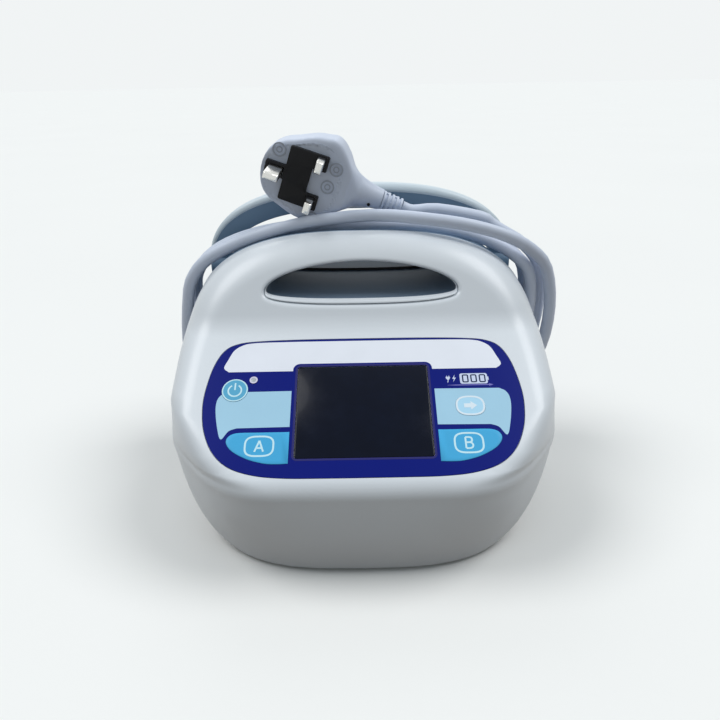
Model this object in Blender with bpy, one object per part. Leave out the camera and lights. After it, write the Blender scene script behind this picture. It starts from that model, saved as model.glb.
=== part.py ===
"""Compression therapy pump, built piece by piece.

Metres, +Z up. The front faces -Y and the pump stands on Z = 0, centred on X and Y.
Depths are counted back from the foremost line of the housing and turned into Y by back().
The sloping panel has a frame of its own: X across, Y up the slope, Z out of the face.
"""

import math

import bmesh
import bpy
from mathutils import Matrix, Vector

# Clearances and walls
GAP = 0.0003
WALL = 0.0025
OVERRUN = 0.004
FACETS = 60
SMOOTH_ANGLE = math.radians(32)

# Housing outline, seen from the front
HALF_WIDTH = 0.0975
HOUSING_TOP = 0.1429
BASE_Z = 0.0025
WIDEST_Z = 0.076
UNDERCUT = 0.0016
UPPER_ROUNDNESS = 2.75
LOWER_ROUNDNESS = 4.66
TAPER = 0.044
TAPER_POWER = 1.5

# Housing profile, seen from the side
PANEL_SLOPE = math.radians(31)
HANDLE_LEAN = math.radians(33)
FRONT_LEAN = math.radians(3.9)
SOFT_EDGE_R = 0.0102
SOFT_EDGE_Z = 0.05006
HANDLE_FOOT_Z = 0.1025
HANDLE_BLEND_R = 0.028
# The shoulder puts the parting plane 117 mm behind the foremost line
PARTING_SHOULDER = 0.01309347825
SIDE_ROUND = 0.027
LOW_SIDE_ROUND = 0.0434
SIDE_ROUND_POWER = 3.2
TOP_ROUND = 0.009
BASE_ROUND = 0.0053
ROUND_SHARE = 0.16
LOW_ROUND_SHARE = 0.364
SPLAY_DROP = 0.022
ROUND_POWER = 2.0
SPLAY_POWER = 1.12
FRONT_BOW = 0.0026
DRAFT = 0.0006

# Heights and depths that follow from the profile
UP = HOUSING_TOP - WIDEST_Z
DOWN = WIDEST_Z - BASE_Z + UNDERCUT
PANEL_RUN = math.tan(math.pi / 2 - PANEL_SLOPE)
PANEL_FOOT_DEPTH = SOFT_EDGE_R * (1 - math.sin(PANEL_SLOPE))
PANEL_FOOT_Z = SOFT_EDGE_Z + SOFT_EDGE_R * math.cos(PANEL_SLOPE)
FRONT_FOOT_DEPTH = SOFT_EDGE_R * (1 - math.cos(FRONT_LEAN))
FRONT_FOOT_Z = SOFT_EDGE_Z - SOFT_EDGE_R * math.sin(FRONT_LEAN)
HANDLE_FOOT_DEPTH = PANEL_FOOT_DEPTH + (HANDLE_FOOT_Z - PANEL_FOOT_Z) * PANEL_RUN
BLEND_TANGENT = HANDLE_BLEND_R * math.tan((math.pi / 2 - PANEL_SLOPE - HANDLE_LEAN) / 2)
BLEND_LOW_Z = HANDLE_FOOT_Z - BLEND_TANGENT * math.sin(PANEL_SLOPE)
BLEND_HIGH_Z = HANDLE_FOOT_Z + BLEND_TANGENT * math.cos(HANDLE_LEAN)
CROWN_DEPTH = HANDLE_FOOT_DEPTH + (HOUSING_TOP - HANDLE_FOOT_Z) * math.tan(HANDLE_LEAN)
PARTING_DEPTH = CROWN_DEPTH + PARTING_SHOULDER

# Cord drum and rear plate
CORD_R = 0.0035
CORD_PITCH = 0.0078
DRUM_RIM = 0.0018
DRUM_SIDE_INSET = 0.0070
DRUM_HALF_WIDTH = HALF_WIDTH - DRUM_SIDE_INSET
DRUM_TOP = 0.1389
DRUM_BOTTOM = 0.041
DRUM_WIDEST_Z = 0.092
DRUM_LOWER_ROUNDNESS = 3.1
DRUM_SIDE_GAP = 0.0007
DRUM_WIDTH = 2 * (CORD_PITCH + CORD_R + DRUM_SIDE_GAP)
PLATE_THICK = 0.005
PLATE_EASE = 0.00125
PLATE_INSET = 0.0015
PLATE_FOOT = 0.004

# Bed hook
HOOK_PIVOT_Z = 0.114
HOOK_EAR_R = 0.0075
HOOK_BACK_GAP = 0.0008
HOOK_DEPTH = 0.010

# Depths that follow from the stack
RIM_FRONT = PARTING_DEPTH + GAP
DRUM_FRONT = RIM_FRONT + DRUM_RIM
DRUM_BACK = DRUM_FRONT + DRUM_WIDTH
PLATE_BACK = DRUM_BACK + PLATE_THICK
HOOK_PIVOT_DEPTH = PLATE_BACK + HOOK_BACK_GAP + HOOK_EAR_R
TOTAL_DEPTH = HOOK_PIVOT_DEPTH + HOOK_EAR_R


def back(depth):
    """The Y of a depth counted from the foremost line of the housing."""
    return depth - TOTAL_DEPTH / 2


# Objects, materials and modifiers

def clear_scene():
    for old in list(bpy.data.objects):
        bpy.data.objects.remove(old, do_unlink=True)


def finish(name, colour, roughness, metallic=0.0):
    """A Principled material of one colour."""
    made = bpy.data.materials.get(name)
    if made is None:
        made = bpy.data.materials.new(name)
        made.use_nodes = True
        shader = made.node_tree.nodes["Principled BSDF"]
        shader.inputs["Base Color"].default_value = (*colour, 1.0)
        shader.inputs["Roughness"].default_value = roughness
        shader.inputs["Metallic"].default_value = metallic
        made.diffuse_color = (*colour, 1.0)
    return made


def white_plastic():
    return finish("white_plastic", (0.66, 0.72, 0.77), 0.45)


def slate_plastic():
    return finish("slate_plastic", (0.11, 0.15, 0.20), 0.5)


def blue_film():
    return finish("blue_film", (0.008, 0.012, 0.19), 0.3)


def key_film():
    return finish("key_film", (0.07, 0.42, 0.75), 0.35)


def pale_film():
    return finish("pale_film", (0.40, 0.66, 0.83), 0.35)


def window_plastic():
    return finish("window_plastic", (0.004, 0.008, 0.016), 0.12)


def cord_plastic():
    return finish("cord_plastic", (0.45, 0.52, 0.62), 0.5)


def black_plastic():
    return finish("black_plastic", (0.01, 0.01, 0.012), 0.45)


def brass():
    return finish("brass", (0.62, 0.52, 0.33), 0.3, 1.0)


def steel():
    return finish("steel", (0.55, 0.56, 0.58), 0.3, 1.0)


def rubber():
    return finish("rubber", (0.02, 0.02, 0.022), 0.8)


def board_green():
    return finish("board_green", (0.02, 0.16, 0.06), 0.5)


def cell_wrap():
    return finish("cell_wrap", (0.05, 0.10, 0.30), 0.4)


def clear_tube():
    return finish("clear_tube", (0.75, 0.80, 0.82), 0.3)


def place(name, mesh, material, parent=None, matrix=None):
    """An object with this mesh, linked, coloured and shaded smooth."""
    thing = bpy.data.objects.new(name, mesh)
    bpy.context.collection.objects.link(thing)
    if material is not None:
        mesh.materials.append(material)
    mesh.shade_smooth()
    mesh.set_sharp_from_angle(angle=SMOOTH_ANGLE)
    if parent is not None:
        thing.parent = parent
    if matrix is not None:
        thing.matrix_local = matrix
    return thing


def guide(thing):
    """Marks a cutter or a joined shape, which is no piece of its own."""
    thing.hide_render = True
    thing.display_type = "WIRE"
    return thing


def combine(target, tool, operation):
    step = target.modifiers.new(operation.lower() + "_" + tool.name, "BOOLEAN")
    step.operation = operation
    step.solver = "EXACT"
    step.object = guide(tool)
    return target


def cut(target, tool):
    return combine(target, tool, "DIFFERENCE")


def weld(target, tool):
    return combine(target, tool, "UNION")


def to_mesh(name, bm):
    bmesh.ops.recalc_face_normals(bm, faces=bm.faces)
    mesh = bpy.data.meshes.new(name)
    bm.to_mesh(mesh)
    bm.free()
    return mesh


def loft(name, rings):
    """A closed solid through rings of as many points each, with both ends capped."""
    bm = bmesh.new()
    rows = [[bm.verts.new(point) for point in ring] for ring in rings]
    for low, high in zip(rows, rows[1:]):
        for here in range(len(low)):
            after = (here + 1) % len(low)
            bm.faces.new((low[here], low[after], high[after], high[here]))
    bm.faces.new(list(reversed(rows[0])))
    bm.faces.new(rows[-1])
    return to_mesh(name, bm)


def prism(name, outline, low, high):
    """An outline in X and Y, drawn out along Z."""
    return loft(name, [[Vector((x, y, z)) for x, y in outline] for z in (low, high)])


def box(name, low, high, bevel=0):
    bm = bmesh.new()
    bmesh.ops.create_cube(bm, size=1)
    for vert in bm.verts:
        vert.co = Vector([low[i] + (vert.co[i] + 0.5) * (high[i] - low[i]) for i in range(3)])
    if bevel:
        bmesh.ops.bevel(bm, geom=bm.edges, offset=bevel, segments=2, affect="EDGES", profile=0.5)
    return to_mesh(name, bm)


def turned(name, profile, count, axis="Z"):
    """A solid turned about an axis, from (along, radius) pairs, ends at radius above zero."""
    rings = []
    for along, radius in profile:
        ring = []
        for step in range(count):
            angle = 2 * math.pi * step / count
            first, second = radius * math.cos(angle), radius * math.sin(angle)
            spots = {"Z": (first, second, along), "Y": (first, along, second), "X": (along, first, second)}
            ring.append(Vector(spots[axis]))
        rings.append(ring)
    return loft(name, rings)


def moved(mesh, offset):
    mesh.transform(Matrix.Translation(Vector(offset)))
    return mesh


def smooth_step(value, low, high):
    share = min(max((value - low) / (high - low), 0.0), 1.0)
    return share * share * (3 - 2 * share)


# Outlines

def egg(half_width, up, down, up_power, down_power, count=FACETS):
    """A superellipse about its centre, with its own height and roundness above and below."""
    points = []
    for step in range(count):
        angle = 2 * math.pi * step / count
        across, along = math.cos(angle), math.sin(angle)
        power, height = (up_power, up) if along >= 0 else (down_power, down)
        points.append((
            half_width * math.copysign(abs(across) ** (2 / power), across),
            height * math.copysign(abs(along) ** (2 / power), along),
        ))
    return points


def grown(outline, margin):
    """The outline moved outwards by a margin, point by point."""
    result = []
    for here, (x, y) in enumerate(outline):
        before, after = outline[here - 1], outline[(here + 1) % len(outline)]
        along = Vector((after[0] - before[0], after[1] - before[1])).normalized()
        result.append((x + along.y * margin, y - along.x * margin))
    return result


def rounded_box(half_x, half_y, radius, steps=5):
    points = []
    corners = ((1, 1), (-1, 1), (-1, -1), (1, -1))
    for number, (side_x, side_y) in enumerate(corners):
        for step in range(steps + 1):
            angle = math.pi / 2 * (number + step / steps)
            points.append((
                side_x * (half_x - radius) + radius * math.cos(angle),
                side_y * (half_y - radius) + radius * math.sin(angle),
            ))
    return points


def shifted(outline, x, y):
    return [(x + px, y + py) for px, py in outline]


def spline(points, steps):
    """A closed smooth curve through the points."""
    result = []
    count = len(points)
    for here in range(count):
        a, b, c, d = (Vector(points[(here + k) % count]) for k in (-1, 0, 1, 2))
        for step in range(steps):
            t = step / steps
            result.append(tuple(0.5 * ((2 * b) + (c - a) * t + (2 * a - 5 * b + 4 * c - d) * t * t
                                       + (3 * b - a - 3 * c + d) * t ** 3)))
    return result


def circle(radius, count=32):
    return [(radius * math.cos(2 * math.pi * k / count), radius * math.sin(2 * math.pi * k / count))
            for k in range(count)]


# The housing surface

def profile_depth(z):
    """Depth of the housing's middle line at a height."""
    if z < FRONT_FOOT_Z:
        return FRONT_FOOT_DEPTH + (FRONT_FOOT_Z - z) * math.tan(FRONT_LEAN)
    if z < PANEL_FOOT_Z:
        rise = z - SOFT_EDGE_Z
        return SOFT_EDGE_R - math.sqrt(SOFT_EDGE_R ** 2 - rise ** 2)
    if z < BLEND_LOW_Z:
        return PANEL_FOOT_DEPTH + (z - PANEL_FOOT_Z) * PANEL_RUN
    low = PANEL_FOOT_DEPTH + (BLEND_LOW_Z - PANEL_FOOT_Z) * PANEL_RUN
    if z < BLEND_HIGH_Z:
        centre_depth = low + HANDLE_BLEND_R * -math.sin(PANEL_SLOPE)
        centre_z = BLEND_LOW_Z + HANDLE_BLEND_R * math.cos(PANEL_SLOPE)
        return centre_depth + math.sqrt(HANDLE_BLEND_R ** 2 - (centre_z - z) ** 2)
    return HANDLE_FOOT_DEPTH + (z - HANDLE_FOOT_Z) * math.tan(HANDLE_LEAN)


def taper(z):
    """How far the sides have drawn in at a height below the widest line."""
    drop = max((WIDEST_Z - z) / DOWN, 0.0)
    return 1 - TAPER * drop ** TAPER_POWER


def housing_outline(inset, foot=0):
    """The housing's outline in X and Z, drawn in by an inset and short of its foot."""
    shape = egg(HALF_WIDTH - inset, UP - inset, DOWN - UNDERCUT - foot, UPPER_ROUNDNESS, LOWER_ROUNDNESS)
    return [(x * taper(WIDEST_Z + z), WIDEST_Z + z) for x, z in shape]


def housing_share(x, z):
    """0 at the middle of the housing's face and 1 on its outline."""
    up = z >= WIDEST_Z
    power = UPPER_ROUNDNESS if up else LOWER_ROUNDNESS
    height = UP if up else DOWN
    across = abs(x) / HALF_WIDTH / taper(z)
    return (across ** power + abs((z - WIDEST_Z) / height) ** power) ** (1 / power)


def splay(z):
    """0 where the sides have a plain rounded border and 1 where they splay out to the rear."""
    return smooth_step(WIDEST_Z - z, 0, SPLAY_DROP)


def round_share(z):
    """Share of the face that its rounded border takes."""
    return ROUND_SHARE + (LOW_ROUND_SHARE - ROUND_SHARE) * splay(z)


def housing_depth(x, z):
    """Depth of the housing's face, with its rounded border."""
    share = housing_share(x, z)
    depth = profile_depth(z)
    low_front = 1 - smooth_step(z, FRONT_FOOT_Z - SOFT_EDGE_R / 2, PANEL_FOOT_Z)
    depth += FRONT_BOW * low_front * (x / HALF_WIDTH) ** 2
    border = round_share(z)
    turn = min((share - 1 + border) / border, 1.0)
    if turn > 0:
        sideways = (abs(x) / HALF_WIDTH / taper(z) / share) ** SIDE_ROUND_POWER
        end = TOP_ROUND if z >= WIDEST_Z else BASE_ROUND
        side = SIDE_ROUND + (LOW_SIDE_ROUND - SIDE_ROUND) * splay(z)
        power = ROUND_POWER + (SPLAY_POWER - ROUND_POWER) * splay(z)
        reach = end + (side - end) * sideways
        depth += reach * (1 - (1 - turn ** power) ** (1 / power))
    return depth


# Handle opening, seen from the front
OPENING_HALF_WIDTH = 0.0525
OPENING_LOW_Z = 0.1115
OPENING_TOP_Z = 0.1330
OPENING_END_Z = 0.1180
OPENING_UP_POWER = 1.85
OPENING_DOWN_POWER = 2.5
RIM_WIDTH = 0.0022
RIM_DEEP = 0.005
LINER_WALL = 0.0018
LINER_RISE = 0.005
OPENING_FACETS = 40


def opening(margin, rise=0):
    """The opening's outline in X and Z, grown by a margin, its floor raised."""
    up = OPENING_TOP_Z - OPENING_END_Z - rise / 2
    down = OPENING_END_Z - OPENING_LOW_Z - rise / 2
    shape = egg(OPENING_HALF_WIDTH, up, down, OPENING_UP_POWER, OPENING_DOWN_POWER, OPENING_FACETS)
    return shifted(grown(shape, margin), 0, OPENING_END_Z + rise / 2)


def through(name, outline, low_depth, high_depth):
    """A cutter or a bar drawn out along Y."""
    return loft(name, [[Vector((x, back(d), z)) for x, z in outline] for d in (low_depth, high_depth)])


# Panel frame and the places on it, across and up the slope from its foot
PANEL_HALF_WIDTH = 0.0771
PANEL_HEIGHT = 0.0763
PANEL_SHARES = (
    (0.0, 1.0), (0.40, 0.998), (0.68, 0.989), (0.82, 0.970), (0.908, 0.915), (0.966, 0.786),
    (0.998, 0.590), (0.995, 0.443), (0.965, 0.302), (0.899, 0.168), (0.798, 0.077),
    (0.652, 0.025), (0.473, 0.004), (0.22, 0.0),
)
FILM_THICK = 0.0005
FILM_RECESS = FILM_THICK + GAP
WINDOW_HALF_WIDTH = 0.0320
WINDOW_HALF_HEIGHT = 0.0247
WINDOW_MIDDLE = 0.0345
WINDOW_CORNER = 0.0012
WINDOW_SINK = 0.0002
POWER_PLACE = (-0.0625, 0.0464)
POWER_R = 0.0064
LIGHT_PLACE = (-0.0538, 0.0521)
LIGHT_R = 0.0015
NEXT_PLACE = (0.0512, 0.0357)
NEXT_ROUNDNESS = 2.6
NEXT_HALF = (0.00695, 0.00535)
SIDE_KEY_FOOT = (0.0347, 0.0072)
SIDE_KEY_SIZE = (0.0292, 0.0160)
SIDE_KEY_SHARES = (
    (0.0, 0.0), (0.15, -0.01), (0.32, 0.0), (0.48, 0.06), (0.62, 0.14), (0.75, 0.25), (0.86, 0.37),
    (0.94, 0.50), (0.99, 0.64), (1.0, 0.78), (0.955, 0.91), (0.87, 0.98), (0.75, 1.0), (0.5, 1.0),
    (0.25, 1.0), (0.0, 1.0),
)
KEY_TRAVEL = 0.0008
KEY_PROUD = 0.0002
KEY_FLANGE = 0.0010
KEY_FLANGE_THICK = 0.0012
BOARD_TOP = -0.0119
BOARD_THICK = 0.0016
BOARD_HALF_WIDTH = 0.072
BOARD_FOOT = 0.006
BOARD_HEAD = 0.063
POST_R = 0.003
POST_SEAT_SHARE = 0.6
POST_PLACES = ((0.068, 0.012), (0.068, 0.0585))
LCD_HALF_WIDTH = 0.0327
LCD_HALF_HEIGHT = 0.0262
SWITCH_R = 0.003


def panel_frame():
    frame = bpy.data.objects.new("panel_frame", None)
    bpy.context.collection.objects.link(frame)
    frame.location = (0, back(PANEL_FOOT_DEPTH), PANEL_FOOT_Z)
    frame.rotation_euler = (PANEL_SLOPE, 0, 0)
    return frame


def panel_matrix():
    spot = Matrix.Translation((0, back(PANEL_FOOT_DEPTH), PANEL_FOOT_Z))
    return spot @ Matrix.Rotation(PANEL_SLOPE, 4, "X")


def panel_outline():
    right = [(u * PANEL_HALF_WIDTH, v * PANEL_HEIGHT) for u, v in PANEL_SHARES]
    left = [(-u, v) for u, v in reversed(right[1:])]
    return list(reversed(spline(right + left, 3)))


def window_outline(margin=0):
    shape = rounded_box(WINDOW_HALF_WIDTH + margin, WINDOW_HALF_HEIGHT + margin, WINDOW_CORNER + margin, 3)
    return shifted(shape, 0, WINDOW_MIDDLE)


def side_key_outline(side, margin=0):
    shape = [(u * SIDE_KEY_SIZE[0], v * SIDE_KEY_SIZE[1]) for u, v in SIDE_KEY_SHARES]
    shape = grown(shape, margin)
    shape = shifted(shape, *SIDE_KEY_FOOT)
    return shape if side > 0 else [(-u, v) for u, v in reversed(shape)]


def next_outline(margin=0):
    half_x, half_y = (half + margin for half in NEXT_HALF)
    return shifted(egg(half_x, half_y, half_y, NEXT_ROUNDNESS, NEXT_ROUNDNESS, 32), *NEXT_PLACE)


def power_outline(margin=0):
    return shifted(circle(POWER_R + margin), *POWER_PLACE)


def light_outline(margin=0):
    return shifted(circle(LIGHT_R + margin, 16), *LIGHT_PLACE)


def panel_holes(margin):
    """Every opening of the panel wall and film, with its name."""
    return (
        ("window", window_outline(margin)),
        ("key_a", side_key_outline(-1, margin)),
        ("key_b", side_key_outline(1, margin)),
        ("key_next", next_outline(margin)),
        ("key_power", power_outline(margin)),
        ("light", light_outline(margin)),
    )


# Front shell

FACE_SHARES = (0.33, 0.66, 0.88, 1.0)
ROUND_STEPS = 4
EDGE_STEPS = 5
BLEND_STEPS = 3


def face_surface():
    """The housing's face and walls as an open surface."""
    shape = egg(HALF_WIDTH, UP, DOWN, UPPER_ROUNDNESS, LOWER_ROUNDNESS)
    bm = bmesh.new()
    hub = bm.verts.new((0, 0, WIDEST_Z))
    rows = []
    for step in range(len(FACE_SHARES) + ROUND_STEPS):
        row = []
        for x, z in shape:
            border = round_share(WIDEST_Z + z)
            if step < len(FACE_SHARES):
                share = FACE_SHARES[step] * (1 - border)
            else:
                turn = (step - len(FACE_SHARES) + 1) / ROUND_STEPS
                share = 1 - border + border * math.sin(math.pi / 2 * turn)
            height = WIDEST_Z + z * share
            row.append(bm.verts.new((x * share * taper(height), 0, height)))
        rows.append(row)
    for here in range(FACETS):
        after = (here + 1) % FACETS
        bm.faces.new((hub, rows[0][here], rows[0][after]))
        for low, high in zip(rows, rows[1:]):
            bm.faces.new((low[here], high[here], high[after], low[after]))
    sweep = math.pi / 2 - PANEL_SLOPE + FRONT_LEAN
    turn_heights = [SOFT_EDGE_Z + SOFT_EDGE_R * math.sin(sweep * k / EDGE_STEPS - FRONT_LEAN)
                    for k in range(EDGE_STEPS + 1)]
    turn_heights += [BLEND_LOW_Z + (BLEND_HIGH_Z - BLEND_LOW_Z) * k / BLEND_STEPS
                     for k in range(BLEND_STEPS + 1)]
    for height in turn_heights:
        bmesh.ops.bisect_plane(bm, geom=bm.verts[:] + bm.edges[:] + bm.faces[:],
                               plane_co=(0, 0, height), plane_no=(0, 0, 1))
    border = [edge for edge in bm.edges if edge.is_boundary]
    made = bmesh.ops.extrude_edge_only(bm, edges=border)
    wall = [item for item in made["geom"] if isinstance(item, bmesh.types.BMVert)]
    for vert in bm.verts:
        if vert not in wall:
            vert.co.y = back(housing_depth(vert.co.x, vert.co.z))
    for vert in wall:
        vert.co.y = back(PARTING_DEPTH + GAP)
        outward = Vector((vert.co.x, 0, vert.co.z - WIDEST_Z)).normalized()
        vert.co += outward * DRAFT
    for vert in bm.verts:
        vert.co.z = max(vert.co.z, BASE_Z)
    bmesh.ops.triangulate(bm, faces=bm.faces)
    bmesh.ops.recalc_face_normals(bm, faces=bm.faces)
    middle = min(bm.faces, key=lambda face: (face.calc_center_median() - hub.co).length)
    if middle.normal.y > 0:
        bmesh.ops.reverse_faces(bm, faces=bm.faces)
    mesh = bpy.data.meshes.new("front_shell")
    bm.to_mesh(mesh)
    bm.free()
    return mesh


def front_shell():
    shell = place("front_shell", face_surface(), white_plastic())
    skin = shell.modifiers.new("wall", "SOLIDIFY")
    skin.thickness = WALL
    skin.offset = -1
    skin.use_even_offset = True
    slope = panel_matrix()
    recess = prism("recess", grown(panel_outline(), GAP), -FILM_RECESS, OVERRUN)
    cut(shell, place("cut_recess", recess, None, None, slope))
    for name, outline in panel_holes(GAP):
        hole = prism(name, outline, -WALL - OVERRUN, OVERRUN)
        cut(shell, place("cut_shell_" + name, hole, None, None, slope))
    post_low = BOARD_TOP + GAP
    for number, (u, v) in enumerate(POST_PLACES * 2):
        side = 1 if number < len(POST_PLACES) else -1
        post = turned("post", ((post_low, POST_R), (-WALL * POST_SEAT_SHARE, POST_R)), 16)
        post = moved(post, (side * u, v, 0))
        weld(shell, place("shell_post_" + str(number), post, None, None, slope))
    hole = through("hole", opening(RIM_WIDTH + GAP), HANDLE_FOOT_DEPTH - OVERRUN, PARTING_DEPTH + OVERRUN)
    cut(shell, place("cut_shell_opening", hole, None))
    low = (-HALF_WIDTH - OVERRUN, back(PARTING_DEPTH), -OVERRUN)
    high = (HALF_WIDTH + OVERRUN, back(PARTING_DEPTH + OVERRUN), HOUSING_TOP + OVERRUN)
    cut(shell, place("cut_shell_parting", box("cut_shell_parting", low, high), None))
    return shell


# Handle rim and liner

def opening_ring(outline, depth, follows_face):
    """The outline as a ring, at a depth behind the face or at a plain depth."""
    return [Vector((x, back(depth + (profile_depth(z) if follows_face else 0)), z)) for x, z in outline]


def sleeve(name, outer_front, inner_front, outer_back, inner_back):
    """An open tube between two pairs of rings."""
    bm = bmesh.new()
    rows = [[bm.verts.new(p) for p in ring] for ring in (inner_front, outer_front, outer_back, inner_back)]
    for low, high in zip(rows, rows[1:] + rows[:1]):
        for here in range(len(low)):
            after = (here + 1) % len(low)
            bm.faces.new((low[here], low[after], high[after], high[here]))
    return to_mesh(name, bm)


def handle_rim():
    outer, inner = opening(RIM_WIDTH), opening(0)
    mesh = sleeve("handle_rim", opening_ring(outer, 0, True), opening_ring(inner, GAP, True),
                  opening_ring(outer, RIM_DEEP, True), opening_ring(inner, RIM_DEEP, True))
    return place("handle_rim", mesh, white_plastic())


def handle_liner():
    start = RIM_DEEP + GAP
    front_out, front_in = opening(LINER_WALL), opening(0)
    back_out, back_in = opening(LINER_WALL, LINER_RISE), opening(0, LINER_RISE)
    mesh = sleeve("handle_liner", opening_ring(front_out, start, True), opening_ring(front_in, start, True),
                  opening_ring(back_out, PLATE_BACK, False), opening_ring(back_in, PLATE_BACK, False))
    return place("handle_liner", mesh, slate_plastic())


# Panel film, window and keys

def panel_overlay(frame):
    film = prism("panel_overlay", panel_outline(), -FILM_THICK, 0)
    film = place("panel_overlay", film, blue_film(), frame)
    slope = panel_matrix()
    for name, outline in panel_holes(GAP):
        hole = prism(name, outline, -OVERRUN, OVERRUN)
        cut(film, place("cut_film_" + name, hole, None, None, slope))
    return film


def display_window(frame):
    mesh = prism("display_window", window_outline(), -WALL, -WINDOW_SINK)
    return place("display_window", mesh, window_plastic(), frame)


def key(name, cap, flange, material, frame):
    """A key cap with the flange that holds it under the panel wall."""
    low = -WALL - GAP - KEY_FLANGE_THICK
    flange_top = -WALL - GAP
    rings = [[Vector((u, v, low)) for u, v in flange], [Vector((u, v, flange_top)) for u, v in flange]]
    rings += [[Vector((u, v, h)) for u, v in cap] for h in (flange_top, KEY_PROUD)]
    return place(name, loft(name, rings), material, frame)


def keys(frame):
    key("key_power", power_outline(), power_outline(KEY_FLANGE), key_film(), frame)
    key("key_next", next_outline(), next_outline(KEY_FLANGE), pale_film(), frame)
    key("key_a", side_key_outline(-1), side_key_outline(-1, KEY_FLANGE), key_film(), frame)
    key("key_b", side_key_outline(1), side_key_outline(1, KEY_FLANGE), key_film(), frame)


def key_middles():
    reach = SIDE_KEY_FOOT[0] + SIDE_KEY_SIZE[0] / 2
    rise = SIDE_KEY_FOOT[1] + SIDE_KEY_SIZE[1] / 2
    return (("power", POWER_PLACE), ("next", NEXT_PLACE), ("a", (-reach, rise)), ("b", (reach, rise)))


def behind_panel(frame):
    """Display board, display module, switches and the light pipe."""
    middle = (BOARD_FOOT + BOARD_HEAD) / 2
    shape = rounded_box(BOARD_HALF_WIDTH, (BOARD_HEAD - BOARD_FOOT) / 2, POST_R)
    board = prism("display_board", shifted(shape, 0, middle), BOARD_TOP - BOARD_THICK, BOARD_TOP)
    place("display_board", board, board_green(), frame)
    low = (-LCD_HALF_WIDTH, WINDOW_MIDDLE - LCD_HALF_HEIGHT, BOARD_TOP + GAP)
    high = (LCD_HALF_WIDTH, WINDOW_MIDDLE + LCD_HALF_HEIGHT, -WALL - GAP)
    place("lcd_module", box("lcd_module", low, high), steel(), frame)
    top = -WALL - GAP - KEY_FLANGE_THICK - KEY_TRAVEL - GAP
    for label, (u, v) in key_middles():
        name = "switch_" + label
        stem = moved(turned(name, ((BOARD_TOP + GAP, SWITCH_R), (top, SWITCH_R)), 16), (u, v, 0))
        place(name, stem, black_plastic(), frame)
    pipe = prism("status_light", light_outline(), BOARD_TOP + GAP, 0)
    place("status_light", pipe, clear_tube(), frame)


# Rear shell: drum rim, drum and rear plate in one moulding

BOSS_LENGTH = 0.020
BOSS_HALF = 0.0052
SCREW_PLACES = ((0.060, 0.046), (0.064, 0.100))
SCREW_HEAD_R = 0.0032
SCREW_HEAD_THICK = 0.0022
SCREW_EASE = 0.00065
SCREW_SINK = 0.0030
PORT_X = 0.018
PORT_Z = 0.0565
PORT_STEM_R = 0.0045
CUP_POST_LENGTH = 0.006
CUP_POST_PLACES = ((0.050, 0.074), (0.050, 0.100))


def plate_outline():
    """The rear plate follows the housing, a little inside it."""
    return housing_outline(PLATE_INSET, PLATE_FOOT)


def rim_outline():
    return housing_outline(-DRAFT)


def drum_outline(margin=0):
    up, down = DRUM_TOP - DRUM_WIDEST_Z, DRUM_WIDEST_Z - DRUM_BOTTOM
    shape = egg(DRUM_HALF_WIDTH, up, down, UPPER_ROUNDNESS, DRUM_LOWER_ROUNDNESS)
    return shifted(grown(shape, margin), 0, DRUM_WIDEST_Z)


def ring_at(outline, depth):
    return [Vector((x, back(depth), z)) for x, z in outline]


def last_strand_depth():
    return DRUM_BACK - DRUM_SIDE_GAP - CORD_R


def rear_shell():
    stack = (
        (drum_outline(-WALL), DRUM_BACK),
        (drum_outline(-WALL), RIM_FRONT),
        (rim_outline(), RIM_FRONT),
        (rim_outline(), DRUM_FRONT),
        (drum_outline(), DRUM_FRONT),
        (drum_outline(), DRUM_BACK),
        (plate_outline(), DRUM_BACK),
        (plate_outline(), PLATE_BACK - PLATE_EASE),
        (grown(plate_outline(), -PLATE_EASE), PLATE_BACK),
    )
    shell = place("rear_shell", loft("rear_shell", [ring_at(o, d) for o, d in stack]), slate_plastic())
    wide = opening(LINER_WALL + GAP, LINER_RISE)
    rings = [opening_ring(opening(LINER_WALL + GAP), RIM_DEEP, True)]
    rings += [opening_ring(wide, PLATE_BACK + extra, False) for extra in (0, OVERRUN)]
    hole = loft("hole", rings)
    cut(shell, place("cut_rear_opening", hole, None))
    root = gland_root()
    low = (root.x - GAP - BOSS_LENGTH, root.y - BOSS_HALF, root.z - BOSS_HALF)
    high = (root.x - GAP, back(DRUM_BACK + WALL / 2), DRUM_BOTTOM + WALL / 2)
    weld(shell, place("cord_boss", box("cord_boss", low, high), None))
    cut(shell, place("cut_gland", gland_cone("cut_gland", GAP), None, None, gland_matrix()))
    for number, (x, z) in enumerate(SCREW_PLACES * 2):
        side = 1 if number < len(SCREW_PLACES) else -1
        spots = [(back(end), SCREW_HEAD_R + GAP) for end in (PLATE_BACK - SCREW_SINK, PLATE_BACK + OVERRUN)]
        bore = moved(turned("bore", spots, 20, "Y"), (side * x, 0, z))
        cut(shell, place("cut_screw_" + str(number), bore, None))
    for number, side in enumerate((-1, 1)):
        spots = [(back(end), PORT_STEM_R + GAP) for end in (DRUM_BACK - OVERRUN, PLATE_BACK + OVERRUN)]
        bore = moved(turned("bore", spots, 24, "Y"), (side * PORT_X, 0, PORT_Z))
        cut(shell, place("cut_port_" + str(number), bore, None))
    for number, (x, z) in enumerate(CUP_POST_PLACES * 2):
        side = 1 if number < len(CUP_POST_PLACES) else -1
        spots = ((back(DRUM_BACK - CUP_POST_LENGTH), POST_R), (back(DRUM_BACK + WALL / 2), POST_R))
        post = moved(turned("post", spots, 16, "Y"), (side * x, 0, z))
        weld(shell, place("cup_post_" + str(number), post, None))
    return shell


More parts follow.
